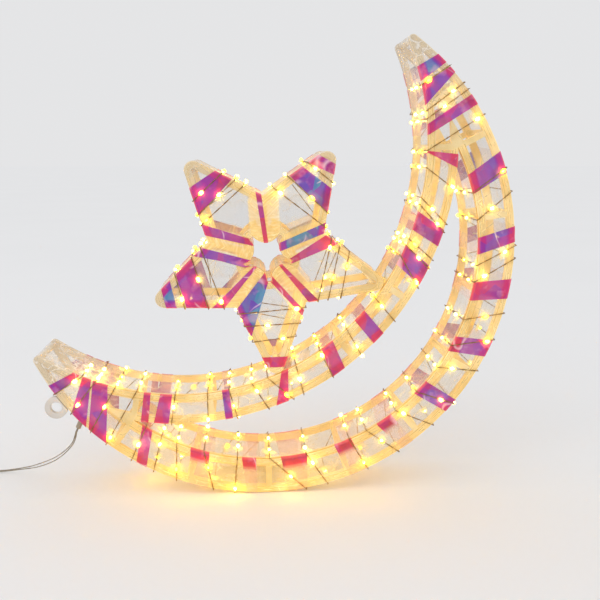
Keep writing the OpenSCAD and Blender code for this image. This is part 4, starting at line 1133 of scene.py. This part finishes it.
# %% Lights
def drop(place, along, radius, reach, rings=7, sides=10):
    """A drop of resin: a ball drawn out along the wire."""
    along = along.normalized()
    side = along.orthogonal().normalized()
    up = along.cross(side)
    points = [place - along * reach]
    for i in range(1, rings):
        t = math.pi * i / rings
        size = radius * math.sin(t) ** 0.85
        for j in range(sides):
            a = 2 * math.pi * j / sides
            points.append(place - along * reach * math.cos(t)
                          + size * (math.cos(a) * side + math.sin(a) * up))
    points.append(place + along * reach)
    last = len(points) - 1
    faces = [(0, 1 + (j + 1) % sides, 1 + j) for j in range(sides)]
    for i in range(rings - 2):
        for j in range(sides):
            a, b, k = 1 + i * sides, 1 + (i + 1) * sides, (j + 1) % sides
            faces.append((a + j, a + k, b + k, b + j))
    faces += [(last, last - sides + j, last - sides + (j + 1) % sides) for j in range(sides)]
    return points, faces


CHIP_RADIUS, CHIP_REACH, BEAD_RADIUS, BEAD_REACH = 1.2, 1.8, 1.9, 2.9
rng = random.Random(7)
spots_of_all = []
groups = {"outer_bow": ["outer_bow"], "inner_bow": ["inner_bow"], "tip": ["upper_tip", "lower_tip"],
          "star": ["star"]}
for group, names in groups.items():
    spots = [spot for name in names for a, b in windings(LED_OUT)[name]
             for spot in light_places(a, b, CLUSTER if name == "lower_tip" else ())]
    spots_of_all += [place for place, _ in spots]
    cores, shells = [], []
    for place, along in spots:
        size = rng.uniform(0.8, 1.12)
        cores.append(drop(place, along, CHIP_RADIUS * size, CHIP_REACH * size, 6, 8))
        shells.append(drop(place, along, BEAD_RADIUS * min(size, 1.0), BEAD_REACH * size))
    core = piece(group + "_chips", *join(cores))
    core.data.materials.append(chip.material)
    shell = piece(group + "_beads", *join(shells))
    shell.data.materials.append(bead.material)
    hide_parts(group + "_leds")
    print(group, "lights", len(spots))

# %% [markdown]
# ## Light caught by the film
# Film and strips scatter the light of a bead that touches them, far more than a thin sheet in a path
# tracer does. So each of their points gets a share of glow that falls off with its distance from the
# lights, and the finishes turn it into a warm tone.

# %% Glow of the film near the lights
REACH, WIDE, LOW = 4.4, 19.0, 34.0
near_lights = kdtree.KDTree(len(spots_of_all))
for i, place in enumerate(spots_of_all):
    near_lights.insert(place, i)
near_lights.balance()
for made in [*film.values(), *wrapped]:
    attributes = made.data.attributes
    for vertex in made.data.vertices:
        place = vertex.co / MM
        around = [d for _, _, d in near_lights.find_range(place, 2 * WIDE)]
        attributes["glow"].data[vertex.index].value = min(1.0, sum(
            math.exp(-(d / REACH) ** 2) for d in around))
        if "warm" in attributes:
            attributes["warm"].data[vertex.index].value = min(1.0, 0.12 * sum(
                math.exp(-(d / WIDE) ** 2) for d in around) + 0.5 * math.exp(-place.z / LOW))
print("lights in all", len(spots_of_all))

# %% [markdown]
# ## Eyelet, sleeve and battery box
# The small mouldings keep the CAD's shape with softer edges.

# %% Small mouldings
rounded("hanging_eyelet", 1.1, eyelet_plastic)
rounded("lead_sleeve", 0.5, sleeve_rubber, 2)
rounded("battery_box", 0.7, box_plastic)
rounded("battery_cover", 0.35, box_plastic, 2)
rounded("power_switch", 0.3, dark_plastic, 2)

# %% [markdown]
# Each cell is pressed against its contact by a coil spring. The CAD's coil is swept again along the
# same path in finer steps, inside the same box.

# %% Springs
SPRING_WIRE, CURLS, CURL_STEPS = 0.35, 3, 28
shape = bmesh.new()
shape.from_mesh(frame["nodes"]["cell_springs"].data)
bmesh.ops.remove_doubles(shape, verts=shape.verts, dist=1e-6)
left, boxes = set(shape.verts), []
while left:
    reached, island = [left.pop()], []
    while reached:
        vertex = reached.pop()
        island.append(vertex.co / MM)
        for line in vertex.link_edges:
            other = line.other_vert(vertex)
            if other in left:
                left.remove(other)
                reached.append(other)
    boxes.append([[pick(p[i] for p in island) for i in range(3)] for pick in (min, max)])
shape.free()
coils = []
for i, (low, high) in enumerate(sorted(boxes, key=lambda box: box[0][1])):
    centre = Vector([(a + b) / 2 for a, b in zip(low, high)])
    radius, reach = (high[1] - low[1]) / 2 - SPRING_WIRE, (high[0] - low[0]) / 2 - SPRING_WIRE
    way = 1 if i % 2 == 0 else -1
    path = []
    for j in range(CURL_STEPS * CURLS + 1):
        flat = radius * direction(360 * j / CURL_STEPS)
        along = way * reach * (2 * j / (CURL_STEPS * CURLS) - 1)
        path.append(centre + Vector((along, flat.x, flat.y)))
    coils.append(tube(path, SPRING_WIRE, 10))
spring = piece("coil_springs", *join(coils))
spring.data.materials.append(plated.material)
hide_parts("cell_springs")
print("springs", len(coils))

# %% [markdown]
# ## Floor, backdrop and light
# The ornament stands on a plain pale surface in soft light from all sides. The floor is a plain
# diffuse white, so it takes the yellow glow of the lights and a soft shadow.

# %% Floor
floor_finish = Finish("floor", Roughness=1.0, Specular_IOR_Level=0.0)
floor_finish.set(Base_Color=floor_finish.ramp(
    floor_finish.clouds(3.0), (0.3, (0.768, 0.772, 0.785)), (0.7, (0.778, 0.782, 0.795))))
floor_mesh = bpy.data.meshes.new("floor")
FLOOR_HALF, FLOOR_BELOW = 14.0, 0.0002
corners = [(x * FLOOR_HALF, y * FLOOR_HALF, 0) for x, y in ((-1, -1), (1, -1), (1, 1), (-1, 1))]
floor_mesh.from_pydata(corners, [], [(0, 1, 2, 3)])
floor = bpy.data.objects.new("floor", floor_mesh)
floor_mesh.materials.append(floor_finish.material)
bpy.context.scene.collection.objects.link(floor)
floor.location.z = -FLOOR_BELOW
print("floor", 2 * FLOOR_HALF, "m wide")

# %% [markdown]
# The world lights the scene evenly at a plain level, and one large soft lamp from the left front
# gives the shapes a light side. Where the camera looks past the floor, straight, through a clear
# piece or in a reflection, it sees the floor's pale tone.

# %% World and lamps
world = bpy.data.worlds.new("studio")
world.use_nodes = True
bpy.context.scene.world = world
tree = world.node_tree
even = tree.nodes["Background"]
even.inputs["Color"].default_value = (1.0, 1.0, 1.0, 1)
even.inputs["Strength"].default_value = 1.0
seen = tree.nodes.new("ShaderNodeBackground")
seen.inputs["Color"].default_value = (0.782, 0.784, 0.794, 1)
rays = tree.nodes.new("ShaderNodeLightPath")
pick = tree.nodes.new("ShaderNodeMixShader")
kinds = rays.outputs["Is Camera Ray"]
for kind in ("Is Transmission Ray", "Is Glossy Ray"):
    either = tree.nodes.new("ShaderNodeMath")
    either.operation = "MAXIMUM"
    tree.links.new(kinds, either.inputs[0])
    tree.links.new(rays.outputs[kind], either.inputs[1])
    kinds = either.outputs[0]
tree.links.new(kinds, pick.inputs[0])
tree.links.new(even.outputs[0], pick.inputs[1])
tree.links.new(seen.outputs[0], pick.inputs[2])
tree.links.new(pick.outputs[0], tree.nodes["World Output"].inputs[0])


def soft_lamp(name, place, target, size, power):
    lamp = bpy.data.objects.new(name, bpy.data.lights.new(name, "AREA"))
    lamp.data.shape, lamp.data.size, lamp.data.energy = "DISK", size, power
    lamp.location = place
    lamp.rotation_euler = (Vector(target) - Vector(place)).to_track_quat("-Z", "Y").to_euler()
    bpy.context.scene.collection.objects.link(lamp)
    print(name, "lamp", power, "W")


soft_lamp("key", (-0.9, -1.1, 1.5), (0, 0, 0.18), 0.9, 2.8)

# %% [markdown]
# The chips are too small for a path tracer to find often from the floor, and their glow on the table
# would be grainy. So each of the lowest lights gets a small point lamp just outside its drop.

# %% Light of the lowest beads on the table
LOW_HEIGHT, LOW_BACK, LAMP_OUT, LAMP_HEIGHT = 30, 10, 3.4, 6.0
LAMP_POWER, LAMP_RADIUS = 0.0055, 0.003
low_lights = [p for p in spots_of_all if p.z < LOW_HEIGHT and p.y < LOW_BACK]
for i, place in enumerate(low_lights):
    out = lift(Vector((place.x, place.z)) - BOW_C, 0).normalized()
    if place.y < -DEPTH / 2:
        out = Vector((0, -1, 0))
    place = place + LAMP_OUT * out
    lamp = bpy.data.objects.new(f"bead_light_{i}", bpy.data.lights.new(f"bead_light_{i}", "POINT"))
    lamp.data.energy, lamp.data.shadow_soft_size = LAMP_POWER, LAMP_RADIUS
    lamp.data.color = (1.0, 0.52, 0.04)
    lamp.location = Vector((place.x, place.y, max(place.z, LAMP_HEIGHT))) * MM
    bpy.context.scene.collection.objects.link(lamp)
print("lamps at the lowest beads", len(low_lights))
bpy.context.scene.cycles.transparent_max_bounces = 24
bpy.context.scene.view_settings.view_transform = "Standard"
